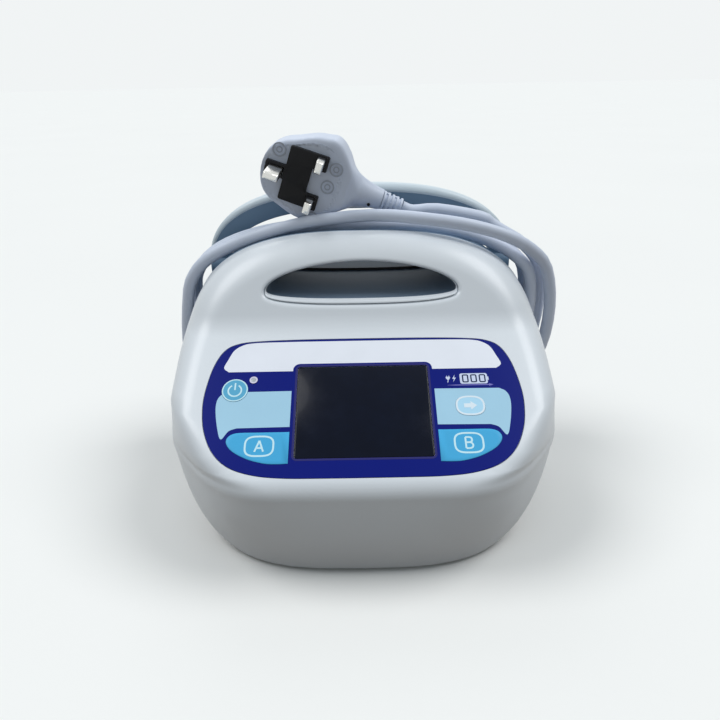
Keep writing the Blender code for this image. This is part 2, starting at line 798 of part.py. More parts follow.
def case_screws():
    for row, (x, z) in zip(("low", "high"), SCREW_PLACES):
        for column, side in (("left", -1), ("right", 1)):
            name = "case_screw_" + row + "_" + column
            low = back(PLATE_BACK - SCREW_SINK + GAP)
            spots = ((low, SCREW_HEAD_R), (low + SCREW_HEAD_THICK - SCREW_EASE, SCREW_HEAD_R),
                     (low + SCREW_HEAD_THICK, SCREW_HEAD_R - 2 * SCREW_EASE))
            place(name, moved(turned(name, spots, 16, "Y"), (side * x, 0, z)), steel())


# Air side: ports, manifold, valves, tube and compressor

PORT_FLANGE_R = 0.0078
PORT_FLANGE_THICK = 0.0025
PORT_LIP_R = 0.0062
PORT_REACH = 0.0100
PORT_BORE_R = 0.0040
PORT_BORE_DEEP = 0.009
MANIFOLD_HALF_WIDTH = 0.034
MANIFOLD_HEIGHT = 0.018
MANIFOLD_FRONT = 0.1195
MANIFOLD_BACK = 0.1330
VALVE_R = 0.006
VALVE_HEIGHT = 0.020
VALVE_STEP = 0.020
TUBE_R = 0.003
TRAY_HALF_WIDTH = 0.043
TRAY_FRONT = 0.030
TRAY_BACK = 0.112
TRAY_THICK = 0.0025
MOUNT_R = 0.005
MOUNT_HEIGHT = 0.006
MOTOR_X = (-0.040, -0.002)
MOTOR_DEPTHS = (0.042, 0.092)
MOTOR_HEIGHT = 0.030
MOTOR_EASE = 0.004
HEAD_R = 0.014
HEAD_HEIGHT = 0.011
TUBE_Z_SHARE = 0.5


def air_ports():
    for name, side in (("port_left", -1), ("port_right", 1)):
        outer = back(PLATE_BACK + GAP)
        inner = back(MANIFOLD_BACK + GAP)
        spots = (
            (inner, PORT_STEM_R), (outer, PORT_STEM_R), (outer, PORT_FLANGE_R),
            (outer + PORT_FLANGE_THICK, PORT_FLANGE_R), (outer + PORT_FLANGE_THICK, PORT_LIP_R),
            (outer + PORT_REACH, PORT_LIP_R), (outer + PORT_REACH, PORT_BORE_R),
            (outer + PORT_REACH - PORT_BORE_DEEP, PORT_BORE_R),
        )
        port = moved(turned(name, spots, 24, "Y"), (side * PORT_X, 0, PORT_Z))
        place(name, port, white_plastic())


def cup_floor(x):
    """Height of the drum's inner floor at a place across."""
    inner = drum_outline(-WALL)
    low = [p for p in inner if p[1] < DRUM_WIDEST_Z]
    near = sorted(low, key=lambda p: abs(p[0] - x))[:2]
    return max(p[1] for p in near)


def valves():
    floor = cup_floor(MANIFOLD_HALF_WIDTH) + GAP
    low = (-MANIFOLD_HALF_WIDTH, back(MANIFOLD_FRONT), floor)
    high = (MANIFOLD_HALF_WIDTH, back(MANIFOLD_BACK), floor + MANIFOLD_HEIGHT)
    place("valve_manifold", box("valve_manifold", low, high), clear_tube())
    middle = back((MANIFOLD_FRONT + MANIFOLD_BACK) / 2)
    base = floor + MANIFOLD_HEIGHT + GAP
    for column, step in (("left", -1), ("middle", 0), ("right", 1)):
        name = "valve_" + column
        spots = ((base, VALVE_R), (base + VALVE_HEIGHT, VALVE_R))
        place(name, moved(turned(name, spots, 20), (step * VALVE_STEP, middle, 0)), steel())


def compressor():
    tray_low = BASE_Z + WALL + GAP
    tray_high = tray_low + TRAY_THICK
    tray = box("chassis_tray", (-TRAY_HALF_WIDTH, back(TRAY_FRONT), tray_low),
               (TRAY_HALF_WIDTH, back(TRAY_BACK), tray_high))
    place("chassis_tray", tray, steel())
    foot = tray_high + GAP
    mount_x = (("left", MOTOR_X[0] + MOUNT_R), ("right", MOTOR_X[1] - MOUNT_R))
    mount_depths = (("front", MOTOR_DEPTHS[0] + MOUNT_R), ("rear", MOTOR_DEPTHS[1] - MOUNT_R))
    for column, x in mount_x:
        for row, depth in mount_depths:
            name = "mount_" + row + "_" + column
            spots = ((foot, MOUNT_R), (foot + MOUNT_HEIGHT, MOUNT_R))
            place(name, moved(turned(name, spots, 16), (x, back(depth), 0)), rubber())
    base = foot + MOUNT_HEIGHT + GAP
    top = base + MOTOR_HEIGHT
    motor = box("compressor", (MOTOR_X[0], back(MOTOR_DEPTHS[0]), base),
                (MOTOR_X[1], back(MOTOR_DEPTHS[1]), top), MOTOR_EASE)
    place("compressor", motor, steel())
    middle_x = sum(MOTOR_X) / 2
    middle_depth = sum(MOTOR_DEPTHS) / 2
    spots = ((top + GAP, HEAD_R), (top + GAP + HEAD_HEIGHT, HEAD_R))
    head = moved(turned("compressor_head", spots, 32), (middle_x, back(middle_depth), 0))
    place("compressor_head", head, black_plastic())
    tube_z = top + GAP + HEAD_HEIGHT * TUBE_Z_SHARE
    spots = ((back(middle_depth) + HEAD_R + GAP, TUBE_R), (back(MANIFOLD_FRONT) - GAP, TUBE_R))
    hose = moved(turned("air_tube", spots, 16, "Y"), (middle_x, 0, tube_z))
    place("air_tube", hose, clear_tube())
    return foot


# Power side: battery, supply, main board and buzzer

PACK_X = (0.004, 0.042)
BATTERY_DEPTHS = (0.036, 0.070)
BATTERY_HEIGHT = 0.024
SUPPLY_DEPTHS = (0.073, 0.108)
SUPPLY_HEIGHT = 0.034
PACK_EASE = 0.002
MAIN_BOARD_HALF_WIDTH = 0.058
MAIN_BOARD_Z = (0.068, 0.106)
BUZZER_R = 0.006
BUZZER_THICK = 0.005
BUZZER_PLACE = (0.036, 0.090)


def power_side(foot):
    battery = box("battery_pack", (PACK_X[0], back(BATTERY_DEPTHS[0]), foot),
                  (PACK_X[1], back(BATTERY_DEPTHS[1]), foot + BATTERY_HEIGHT), PACK_EASE)
    place("battery_pack", battery, cell_wrap())
    supply = box("power_supply", (PACK_X[0], back(SUPPLY_DEPTHS[0]), foot),
                 (PACK_X[1], back(SUPPLY_DEPTHS[1]), foot + SUPPLY_HEIGHT), PACK_EASE)
    place("power_supply", supply, black_plastic())
    board_back = DRUM_BACK - CUP_POST_LENGTH - GAP
    board = box("main_board", (-MAIN_BOARD_HALF_WIDTH, back(board_back - BOARD_THICK), MAIN_BOARD_Z[0]),
                (MAIN_BOARD_HALF_WIDTH, back(board_back), MAIN_BOARD_Z[1]))
    place("main_board", board, board_green())
    face = back(board_back - BOARD_THICK) - GAP
    spots = ((face - BUZZER_THICK, BUZZER_R), (face, BUZZER_R))
    buzzer = moved(turned("buzzer", spots, 20, "Y"), (BUZZER_PLACE[0], 0, BUZZER_PLACE[1]))
    place("buzzer", buzzer, black_plastic())


# Feet

FOOT_R = 0.007
FOOT_X = 0.034
FOOT_DEPTHS = (0.030, 0.103)
FOOT_EASE = 0.0005


def feet():
    top = BASE_Z - GAP
    spots = ((0, FOOT_R - FOOT_EASE), (FOOT_EASE, FOOT_R), (top, FOOT_R))
    for row, depth in zip(("front", "rear"), FOOT_DEPTHS):
        for column, side in (("left", -1), ("right", 1)):
            name = "foot_" + row + "_" + column
            place(name, moved(turned(name, spots, 24), (side * FOOT_X, back(depth), 0)), rubber())


# Bed hook, its brackets and its pins

HOOK_SIDE_REACH = 0.0030
HOOK_HALF_WIDTH = DRUM_HALF_WIDTH + HOOK_SIDE_REACH
HOOK_RISE = 0.0495
HOOK_BAND = 0.0145
HOOK_BAND_END = 0.0125
HOOK_POWER = 2.5
HOOK_EASE = 0.003
HOOK_STEPS = 32
EAR_INSET = 0.0007
EAR_THICK = 0.0128
EAR_OUTER_X = HOOK_HALF_WIDTH - EAR_INSET
EAR_INNER_X = EAR_OUTER_X - EAR_THICK
LUG_THICK = 0.007
LUG_HALF_HEIGHT = 0.009
LUG_BASE_THICK = 0.0022
PIN_R = 0.003
PIN_HEAD_R = 0.0048
PIN_HEAD_THICK = 0.0015


def hook_arch():
    """A band bent over the drum, from ear to ear, with its outer front edge eased."""
    front = back(HOOK_PIVOT_DEPTH - HOOK_DEPTH / 2)
    rear = back(HOOK_PIVOT_DEPTH + HOOK_DEPTH / 2)
    rings = []
    for step in range(HOOK_STEPS + 1):
        angle = math.pi * step / HOOK_STEPS
        across, along = math.cos(angle), math.sin(angle)
        shares = (math.copysign(abs(across) ** (2 / HOOK_POWER), across), abs(along) ** (2 / HOOK_POWER))

        def spot(inset, y, end_inset=None):
            side = inset if end_inset is None else end_inset
            return Vector(((HOOK_HALF_WIDTH - side) * shares[0], y,
                           HOOK_PIVOT_Z + (HOOK_RISE - inset) * shares[1]))

        rings.append([spot(HOOK_EASE, front), spot(0, front + HOOK_EASE), spot(0, rear - HOOK_EASE),
                      spot(HOOK_EASE, rear), spot(HOOK_BAND, rear, HOOK_BAND_END),
                      spot(HOOK_BAND, front, HOOK_BAND_END)])
    return loft("bed_hook", rings)


def bed_hook():
    pivot = Vector((0, back(HOOK_PIVOT_DEPTH), HOOK_PIVOT_Z))
    arch = hook_arch()
    arch.transform(Matrix.Translation(-pivot))
    hook = place("bed_hook", arch, slate_plastic())
    hook.location = pivot
    for name, side in (("left", -1), ("right", 1)):
        spots = ((EAR_INNER_X * side, HOOK_EAR_R), (EAR_OUTER_X * side, HOOK_EAR_R))
        spots = spots if side > 0 else tuple(reversed(spots))
        ear = moved(turned("ear", spots, 32, "X"), pivot)
        weld(hook, place("hook_ear_" + name, ear, None))
        ends = sorted((side * (EAR_OUTER_X + OVERRUN), side * (EAR_INNER_X - OVERRUN)))
        bore = moved(turned("bore", [(x, PIN_R + GAP) for x in ends], 24, "X"), pivot)
        cut(hook, place("cut_ear_" + name, bore, None))
    return hook


def lug_outline():
    """Side view of a bracket: a foot on the plate and a round nose about the pin."""
    foot = back(PLATE_BACK + GAP)
    nose = [(back(HOOK_PIVOT_DEPTH) + HOOK_EAR_R * math.cos(a), HOOK_PIVOT_Z + HOOK_EAR_R * math.sin(a))
            for a in [math.pi * (k / 10 - 0.5) for k in range(11)]]
    return [(foot, HOOK_PIVOT_Z - LUG_HALF_HEIGHT)] + nose + [(foot, HOOK_PIVOT_Z + LUG_HALF_HEIGHT)]


def hook_mountings():
    lug_outer = EAR_INNER_X - GAP
    for name, side in (("left", -1), ("right", 1)):
        xs = sorted((side * lug_outer, side * (lug_outer - LUG_THICK)))
        lug = loft("hook_bracket_" + name, [[Vector((x, y, z)) for y, z in lug_outline()] for x in xs])
        bracket = place("hook_bracket_" + name, lug, slate_plastic())
        ends = sorted((side * (lug_outer - LUG_THICK - OVERRUN), side * (lug_outer + OVERRUN)))
        spot = (0, back(HOOK_PIVOT_DEPTH), HOOK_PIVOT_Z)
        bore = moved(turned("bore", [(x, PIN_R + GAP) for x in ends], 24, "X"), spot)
        cut(bracket, place("cut_bracket_" + name, bore, None))
        inner = lug_outer - LUG_THICK - GAP
        stations = [(inner - PIN_HEAD_THICK, PIN_HEAD_R), (inner, PIN_HEAD_R), (inner, PIN_R)]
        stations += [(EAR_OUTER_X, PIN_R)]
        stations = stations if side > 0 else [(-x, r) for x, r in reversed(stations)]
        pin = moved(turned("hook_pin_" + name, stations, 24, "X"), spot)
        place("hook_pin_" + name, pin, steel())


# Mains cord: the winding on the drum, the tail and the plug

STRAND_LIFT = 0.0046
WINDING_HALF_WIDTH = 0.1005
WINDING_WIDEST_Z = 0.103
WINDING_UP_POWER = 2.45
WINDING_DOWN_POWER = 3.0
WINDING_POINTS = 24
WINDING_START = 0.035
WINDING_END = 3.40
LAYER_STEP = 0.0076
BULGE = 0.006
BULGE_TURN = 2.20
BULGE_SPREAD = 0.09
LEAN_OUT = 0.010
# Where a strand changes its place or its layer: from one turn to another, by so many steps
PLACE_SHARES = ((0.74, 1.10, -2), (1.30, 1.46, 1), (1.95, 2.12, -1), (2.92, 3.10, 1))
LEAN_SHARES = ((2.25, 2.40, 1), (2.44, 2.50, -1))
LAYER_SHARES = ((1.70, 1.80, 1), (2.47, 2.62, -1), (2.72, 2.86, 2.1), (3.12, 3.22, -1.1))
GLAND_LENGTH = 0.024
GLAND_R = 0.0042
GLAND_TIP_R = 0.0038


def winding_spot(turn):
    """Place on the cord's middle line after so many turns, counted from the bottom."""
    angle = 2 * math.pi * (turn - 0.25)
    across, along = math.cos(angle), math.sin(angle)
    power = WINDING_UP_POWER if along >= 0 else WINDING_DOWN_POWER
    top = DRUM_TOP + STRAND_LIFT
    bottom = DRUM_BOTTOM - STRAND_LIFT
    height = top - WINDING_WIDEST_Z if along >= 0 else WINDING_WIDEST_Z - bottom
    spot = Vector((WINDING_HALF_WIDTH * math.copysign(abs(across) ** (2 / power), across),
                   height * math.copysign(abs(along) ** (2 / power), along)))
    sizes = (WINDING_HALF_WIDTH, height)
    slope = Vector([math.copysign(abs(value / size) ** (power - 1), value) / size
                    for value, size in zip(spot, sizes)]).normalized()
    spot += slope * winding_lift(turn)
    return Vector((spot.x, back(winding_depth(turn)), WINDING_WIDEST_Z + spot.y))


def stepped(turn, shares):
    """The sum of the changes that lie before a turn, each eased over its own stretch."""
    return sum(change * smooth_step(turn, start, end) for start, end, change in shares)


def winding_lift(turn):
    """How far a strand lies above the first layer."""
    bulge = math.exp(-((turn - BULGE_TURN) / BULGE_SPREAD) ** 2)
    return LAYER_STEP * stepped(turn, LAYER_SHARES) + BULGE * bulge


def winding_depth(turn):
    """Depth of a strand: rear, front and middle places, and a lean over the housing's top."""
    places = CORD_PITCH * stepped(turn, PLACE_SHARES)
    return last_strand_depth() + places - LEAN_OUT * stepped(turn, LEAN_SHARES)


def winding_points():
    step = 1 / WINDING_POINTS
    turns = [WINDING_START]
    while turns[-1] + step < WINDING_END:
        turns.append(turns[-1] + step)
    points = [winding_spot(turn) for turn in turns]
    start = points[0] - (points[1] - points[0]).normalized() * 2 * CORD_R
    end = points[-1] + (points[-1] - points[-2]).normalized() * 2 * CORD_R
    return [start] + points + [end]


def least_gap(points):
    """Least clear distance between stretches of the cord that aren't neighbours."""
    least = None
    for first in range(len(points) - 1):
        for second in range(first + WINDING_POINTS // 2, len(points) - 1):
            a, b = points[first], points[second]
            u, v, w = points[first + 1] - a, points[second + 1] - b, a - b
            uu, uv, vv, uw, vw = u.dot(u), u.dot(v), v.dot(v), u.dot(w), v.dot(w)
            flat = uu * vv - uv * uv
            s = min(max((uv * vw - vv * uw) / flat, 0.0), 1.0) if flat > 0 else 0.0
            t = min(max((uv * s + vw) / vv, 0.0), 1.0)
            s = min(max((uv * t - uw) / uu, 0.0), 1.0)
            apart = (w + u * s - v * t).length - 2 * CORD_R
            least = apart if least is None else min(least, apart)
    return least


def tube(name, points, material, fineness):
    curve = bpy.data.curves.new(name, "CURVE")
    curve.dimensions = "3D"
    curve.bevel_depth = CORD_R
    curve.bevel_resolution = fineness
    curve.use_fill_caps = True
    line = curve.splines.new("POLY")
    line.points.add(len(points) - 1)
    for point, spot in zip(line.points, points):
        point.co = (*spot, 1)
    curve.materials.append(material)
    cord = bpy.data.objects.new(name, curve)
    bpy.context.collection.objects.link(cord)
    return cord


def curve_through(points, steps):
    """Points of a smooth open curve through the route's own points."""
    result = []
    for here in range(len(points) - 1):
        before = points[here - 1] if here else points[0] * 2 - points[1]
        after = points[here + 2] if here + 2 < len(points) else points[-1] * 2 - points[-2]
        a, b, c, d = before, points[here], points[here + 1], after
        for step in range(steps):
            t = step / steps
            result.append(0.5 * ((2 * b) + (c - a) * t + (2 * a - 5 * b + 4 * c - d) * t * t
                                 + (3 * b - a - 3 * c + d) * t ** 3))
    return result + [points[-1]]


def gland_way():
    """The way the cord leaves the gland."""
    points = winding_points()
    return (points[1] - points[0]).normalized()


def gland_root():
    return winding_points()[0] - gland_way() * (GAP + GLAND_LENGTH)


def gland_cone(name, margin=0):
    return turned(name, ((-margin, GLAND_R + margin), (GLAND_LENGTH + margin, GLAND_TIP_R + margin)), 20)


def gland_matrix():
    turn = gland_way().to_track_quat("Z", "Y").to_matrix().to_4x4()
    return Matrix.Translation(gland_root()) @ turn


def cord_gland():
    place("cord_gland", gland_cone("cord_gland"), slate_plastic(), None, gland_matrix())


def cords():
    points = winding_points()
    tube("cord_winding", points, cord_plastic(), 1)
    print("least gap of the winding to itself, in metres:", round(least_gap(points), 5))
    tail = tail_points()
    tube("cord_tail", tail, cord_plastic(), 2)
    length = sum((b - a).length for route in (points, tail) for a, b in zip(route, route[1:]))
    print("length of the whole cord, in metres:", round(length, 3))


# Plug, in its own frame: X towards the earth pin, Y from neutral to live, Z into its back

PLUG_FACE = (-0.0240, 0.1255, 0.1688)
PLUG_EARTH_WAY = (-0.94, 0.0, 0.337)
PLUG_BACK_WAY = (0.04, 0.995, 0.07)
PLUG_SHARES = (
    (1.0, 0.0), (0.99, 0.14), (0.95, 0.34), (0.80, 0.62), (0.60, 0.81), (0.41, 0.91), (0.22, 0.97),
    (0.0, 1.0), (-0.22, 0.94), (-0.40, 0.78), (-0.50, 0.54), (-0.52, 0.26), (-0.52, 0.0),
)
PLUG_REACH = 0.0305
PLUG_HALF_WIDTH = 0.0236
PLUG_STATIONS = ((0.0, 0.965), (0.06, 1.0), (0.45, 1.0), (0.75, 0.95), (0.92, 0.86), (1.0, 0.70))
PLUG_THICK = 0.0228
AXIS_SINK = 0.0115
NECK_SPOTS = ((-0.0385, 0.0058), (-0.0290, 0.0080), (-0.0205, 0.0102), (-0.0120, 0.0110))
RELIEF_END = -0.0505
RELIEF_R = 0.0055
RELIEF_TIP_R = 0.0046
RELIEF_GROOVE = 0.0010
RELIEF_RIBS = 5
CARRIER_CORNERS = (
    (0.0284, 0.0038), (0.0175, 0.0038), (0.0175, 0.0148), (-0.0042, 0.0152), (-0.0042, 0.0068),
    (0.0034, 0.0068),
)
CARRIER_THICK = 0.0030
PIN_EARTH_X = 0.02223
PIN_LINE_Y = 0.01111
EARTH_HALF = (0.003965, 0.001985)
LINE_HALF = (0.001985, 0.003175)
EARTH_LENGTH = 0.02273
LINE_LENGTH = 0.01770
PIN_EASE = 0.0008


def plug_matrix():
    depth = Vector(PLUG_BACK_WAY).normalized()
    earth = Vector(PLUG_EARTH_WAY)
    earth = (earth - depth * earth.dot(depth)).normalized()
    line = depth.cross(earth)
    turn = Matrix((earth, line, depth)).transposed().to_4x4()
    x, d, z = PLUG_FACE
    return Matrix.Translation((x, back(d), z)) @ turn


def relief_profile():
    """Ribs that narrow towards the cord."""
    root = NECK_SPOTS[0][0] - GAP
    step = (RELIEF_END - root) / (2 * RELIEF_RIBS - 1)
    spots = []
    for number in range(2 * RELIEF_RIBS - 1):
        share = number / (2 * RELIEF_RIBS - 2)
        radius = RELIEF_R + (RELIEF_TIP_R - RELIEF_R) * share - (RELIEF_GROOVE if number % 2 else 0)
        spots += [(root + step * number, radius), (root + step * (number + 1), radius)]
    return spots


def plug():
    frame = bpy.data.objects.new("plug_frame", None)
    bpy.context.collection.objects.link(frame)
    pose = plug_matrix()
    frame.matrix_world = pose
    half = [(x * PLUG_REACH, y * PLUG_HALF_WIDTH) for x, y in PLUG_SHARES]
    outline = spline(half + [(x, -y) for x, y in reversed(half[1:-1])], 3)
    rings = [[Vector((x * share, y * share, PLUG_THICK * along)) for x, y in outline]
             for along, share in PLUG_STATIONS]
    body = place("plug_body", loft("plug_body", rings), cord_plastic(), frame)
    neck = turned("neck", NECK_SPOTS, 24, "X")
    weld(body, place("plug_neck", moved(neck, (0, 0, AXIS_SINK)), None, None, pose))
    relief = moved(turned("plug_strain_relief", relief_profile(), 16, "X"), (0, 0, AXIS_SINK))
    place("plug_strain_relief", relief, cord_plastic(), frame)
    carrier = [(x, -y) for x, y in reversed(CARRIER_CORNERS)] + list(CARRIER_CORNERS)
    carrier = prism("plug_carrier", carrier[::-1], -CARRIER_THICK - GAP, -GAP)
    carrier = place("plug_carrier", carrier, black_plastic(), frame)
    for name, side in (("neutral", -1), ("live", 1)):
        low = (-LINE_HALF[0] - GAP, side * PIN_LINE_Y - LINE_HALF[1] - GAP, -CARRIER_THICK - OVERRUN)
        high = (LINE_HALF[0] + GAP, side * PIN_LINE_Y + LINE_HALF[1] + GAP, OVERRUN)
        cut(carrier, place("cut_carrier_" + name, box("slot", low, high), None, None, pose))
        low = (-LINE_HALF[0], side * PIN_LINE_Y - LINE_HALF[1], -LINE_LENGTH)
        high = (LINE_HALF[0], side * PIN_LINE_Y + LINE_HALF[1], -GAP)
        place("pin_" + name, box("pin_" + name, low, high, PIN_EASE), brass(), frame)
    low = (PIN_EARTH_X - EARTH_HALF[0] - GAP, -EARTH_HALF[1] - GAP, -CARRIER_THICK - OVERRUN)
    high = (PIN_EARTH_X + EARTH_HALF[0] + GAP, EARTH_HALF[1] + GAP, OVERRUN)
    cut(carrier, place("cut_carrier_earth", box("slot", low, high), None, None, pose))
    low = (PIN_EARTH_X - EARTH_HALF[0], -EARTH_HALF[1], -EARTH_LENGTH)
    high = (PIN_EARTH_X + EARTH_HALF[0], EARTH_HALF[1], -GAP)
    place("pin_earth", box("pin_earth", low, high, PIN_EASE), brass(), frame)


# The tail's route from the winding to the plug, in X, depth and Z
TAIL_ROUTE = ((0.0450, 0.1355, 0.1507),)


def tail_points():
    pose = plug_matrix()
    wound = winding_points()
    ahead = (wound[-1] - wound[-2]).normalized()
    start = wound[-1] + ahead * GAP
    end = pose @ Vector((RELIEF_END - GAP, 0, AXIS_SINK))
    arrive = (pose @ Vector((RELIEF_END - GAP - 2 * CORD_R, 0, AXIS_SINK)))
    middle = [Vector((x, back(d), z)) for x, d, z in TAIL_ROUTE]
    route = [start + ahead * 2 * CORD_R] + middle + [arrive]
    return [start] + curve_through(route, 3) + [end]


def main():
    clear_scene()
    frame = panel_frame()
    front_shell()
    handle_rim()
    handle_liner()
    panel_overlay(frame)
    display_window(frame)
    keys(frame)
    behind_panel(frame)
    rear_shell()
    case_screws()
    air_ports()
    valves()
    foot = compressor()
    power_side(foot)
    feet()
    bed_hook()
    hook_mountings()
    cord_gland()
    cords()
    plug()


main()
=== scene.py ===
import math

import bmesh
import bpy
from mathutils import Matrix, Vector


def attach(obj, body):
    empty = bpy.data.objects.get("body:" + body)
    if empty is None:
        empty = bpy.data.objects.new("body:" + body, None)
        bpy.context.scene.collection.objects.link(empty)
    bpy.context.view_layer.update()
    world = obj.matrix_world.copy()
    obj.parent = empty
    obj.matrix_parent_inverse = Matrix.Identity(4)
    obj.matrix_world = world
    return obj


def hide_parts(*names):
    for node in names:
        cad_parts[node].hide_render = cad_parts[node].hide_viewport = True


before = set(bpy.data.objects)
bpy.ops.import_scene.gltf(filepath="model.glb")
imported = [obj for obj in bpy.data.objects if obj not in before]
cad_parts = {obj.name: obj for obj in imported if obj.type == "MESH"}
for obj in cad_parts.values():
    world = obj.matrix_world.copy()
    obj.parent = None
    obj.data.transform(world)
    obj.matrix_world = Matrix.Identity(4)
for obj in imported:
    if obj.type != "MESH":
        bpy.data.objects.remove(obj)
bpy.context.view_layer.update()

bl_info = {
    "name": "Compression therapy pump",
    "version": (1, 0, 0),
    "blender": (4, 5, 0),
    "location": "View3D > Sidebar > Pump",
    "description": "Dresses the packed pump: shells, panel, keys, bed hook, wound cord and plug",
    "category": "Object",
}

# Lengths are in metres. GAP parts neighbouring pieces, and OVERRUN takes a cutting shape past
# what it cuts.
GAP = 0.0003
WALL = 0.0025
OVERRUN = 0.004
TOTAL_DEPTH = 0.1639


def paint(red, green, blue):
    """A colour as it shows on a screen, turned into the shader's linear values."""
    return tuple(v / 255 / 12.92 if v / 255 <= 0.04045 else ((v / 255 + 0.055) / 1.055) ** 2.4
                 for v in (red, green, blue))


def back(depth):
    """The Y of a depth counted from the foremost line of the housing."""
    return depth - TOTAL_DEPTH / 2


def colour_setting(name, description, shade):
    return bpy.props.FloatVectorProperty(name=name, description=description, subtype="COLOR",
                                         size=3, min=0.0, max=1.0, default=paint(*shade))


def length_setting(name, description, metres):
    return bpy.props.FloatProperty(name=name, description=description, unit="LENGTH", min=0.0,
                                   precision=5, default=metres)


def lamp_setting(name, description, strength):
    return bpy.props.FloatProperty(name=name, description=description, min=0.0, default=strength)


class PumpColours(bpy.types.PropertyGroup):
    """Colours of the mouldings, the printed film and the cord."""
    shell: colour_setting("Housing", "White moulded front shell", (220, 226, 232))
    slate: colour_setting("Slate", "Rear shell and bed hook", (110, 137, 162))
    # The scoop's colour is a darker slate, painted shade inside the handle opening.
    liner: colour_setting("Handle liner", "Scoop inside the handle opening", (100, 120, 141))
    film: colour_setting("Panel film", "Dark blue ground of the panel", (6, 24, 120))
    header: colour_setting("Header", "White band at the head of the panel", (236, 240, 249))
    zone: colour_setting("Key zones", "Pale fields left and right of the display", (170, 212, 235))
    key: colour_setting("Side keys", "Blue of the two lower keys", (75, 175, 225))
    power: colour_setting("Power key", "Blue of the round key", (95, 175, 212))
    window: colour_setting("Display", "Smoked window, switched off", (1, 9, 29))
    border: colour_setting("Display border", "Thin line round the window", (50, 50, 112))
    cord: colour_setting("Cord", "Grey sheath of the mains cord and its plug", (207, 216, 233))
    rubber: colour_setting("Rubber", "Feet and mounts", (28, 28, 30))
    floor: colour_setting("Floor", "Plain pale floor of the studio", (242, 242, 240))


class PumpSizes(bpy.types.PropertyGroup):
    """Sizes of the details that a user would change."""
    facets: bpy.props.IntProperty(name="Facets", description="Facets round the housing's outline",
                                  default=240, min=60, max=480)
    print_lift: length_setting("Print lift", "Height of the print above the film", 0.00004)
    stroke: length_setting("Stroke", "Width of a symbol's line", 0.00078)
    lip_round: length_setting("Lip rounding", "Rounded edge of the handle opening", 0.0020)
    seam_low: length_setting("Rim width below", "Width of the rim under the opening", 0.0013)
    seam_high: length_setting("Rim width above", "Width of the rim over the opening", 0.00015)
    hook_chamfer: length_setting("Hook chamfer", "Slope along the crown of the bed hook", 0.0042)
    cord: length_setting("Cord diameter", "Outside diameter of the mains cord", 0.007)
    letter: length_setting("Letter height", "Height of the letters on the side keys", 0.0056)


class PumpStudio(bpy.types.PropertyGroup):
    """Lamps, sky, floor and camera."""
    left: lamp_setting("Left lamp", "Soft light from the left and above", 1.16)
    right: lamp_setting("Right lamp", "Soft light from the right and above", 1.19)
    rear: lamp_setting("Rear lamp", "Soft light from behind and above", 0.20)
    sky: lamp_setting("Sky", "Even light from all round", 0.40)
    spread: bpy.props.FloatProperty(name="Lamp size",
                                    description="How wide each lamp looks from the pump",
                                    subtype="ANGLE", default=math.radians(30))
    lens: bpy.props.FloatProperty(name="Lens",
                                  description="Focal length of the camera in millimetres",
                                  default=30.0, min=10.0)
    tilt: bpy.props.FloatProperty(name="Camera tilt",
                                  description="Angle up from looking straight down",
                                  subtype="ANGLE", default=math.radians(65))
    spot: bpy.props.FloatVectorProperty(name="Camera place", description="Where the camera stands",
                                        subtype="TRANSLATION", size=3,
                                        default=(-0.0012, -0.29685, 0.219))


# Finishes

WEAR_GAIN = 0.6
KEY_GLOSS = 0.34
FILM_GLOSS = 0.30


class Wire:
    """A socket of a node, with plain arithmetic that adds Math nodes."""

    def __init__(self, owner, socket):
        self.owner = owner
        self.socket = socket

    def sum_of(self, operation, first, second):
        return self.owner.node("ShaderNodeMath", {"operation": operation}, {0: first, 1: second})

    def __add__(self, other):
        return self.sum_of("ADD", self, other)

    def __radd__(self, other):
        return self.sum_of("ADD", other, self)

    def __sub__(self, other):
        return self.sum_of("SUBTRACT", self, other)

    def __rsub__(self, other):
        return self.sum_of("SUBTRACT", other, self)

    def __mul__(self, other):
        return self.sum_of("MULTIPLY", self, other)

    def __rmul__(self, other):
        return self.sum_of("MULTIPLY", other, self)

    def __truediv__(self, other):
        return self.sum_of("DIVIDE", self, other)

    def most(self, other):
        return self.sum_of("MAXIMUM", self, other)

    def clamped(self):
        return self.owner.node("ShaderNodeClamp", {}, {0: self})


class NodeTree:
    """The nodes of a material or of the sky."""

    def __init__(self, tree):
        self.tree = tree

    def node(self, kind, settings, sockets, output=0):
        """A node of this kind: its settings first, then the values or links of its sockets."""
        made = self.tree.nodes.new(kind)
        for setting, value in settings.items():
            if setting == "stops":
                stops = made.color_ramp.elements
                while len(stops) < len(value):
                    stops.new(0.5)
                for stop, (place, shade) in zip(stops, value):
                    stop.position = place
                    stop.color = (*shade, 1.0)
            else:
                setattr(made, setting, value)
        for socket, value in sockets.items():
            self.put(made.inputs[socket], value)
        return Wire(self, made.outputs[output])

    def put(self, socket, value):
        if isinstance(value, Wire):
            self.tree.links.new(value.socket, socket)
        else:
            socket.default_value = value

    def seen_directly(self):
        """1 for rays of the camera, of gloss and of clear plastic, 0 for light between surfaces."""
        camera, gloss, clear = (self.node("ShaderNodeLightPath", {}, {}, name)
                                for name in ("Is Camera Ray", "Is Glossy Ray",
                                             "Is Transmission Ray"))
        return camera.most(gloss).most(clear)


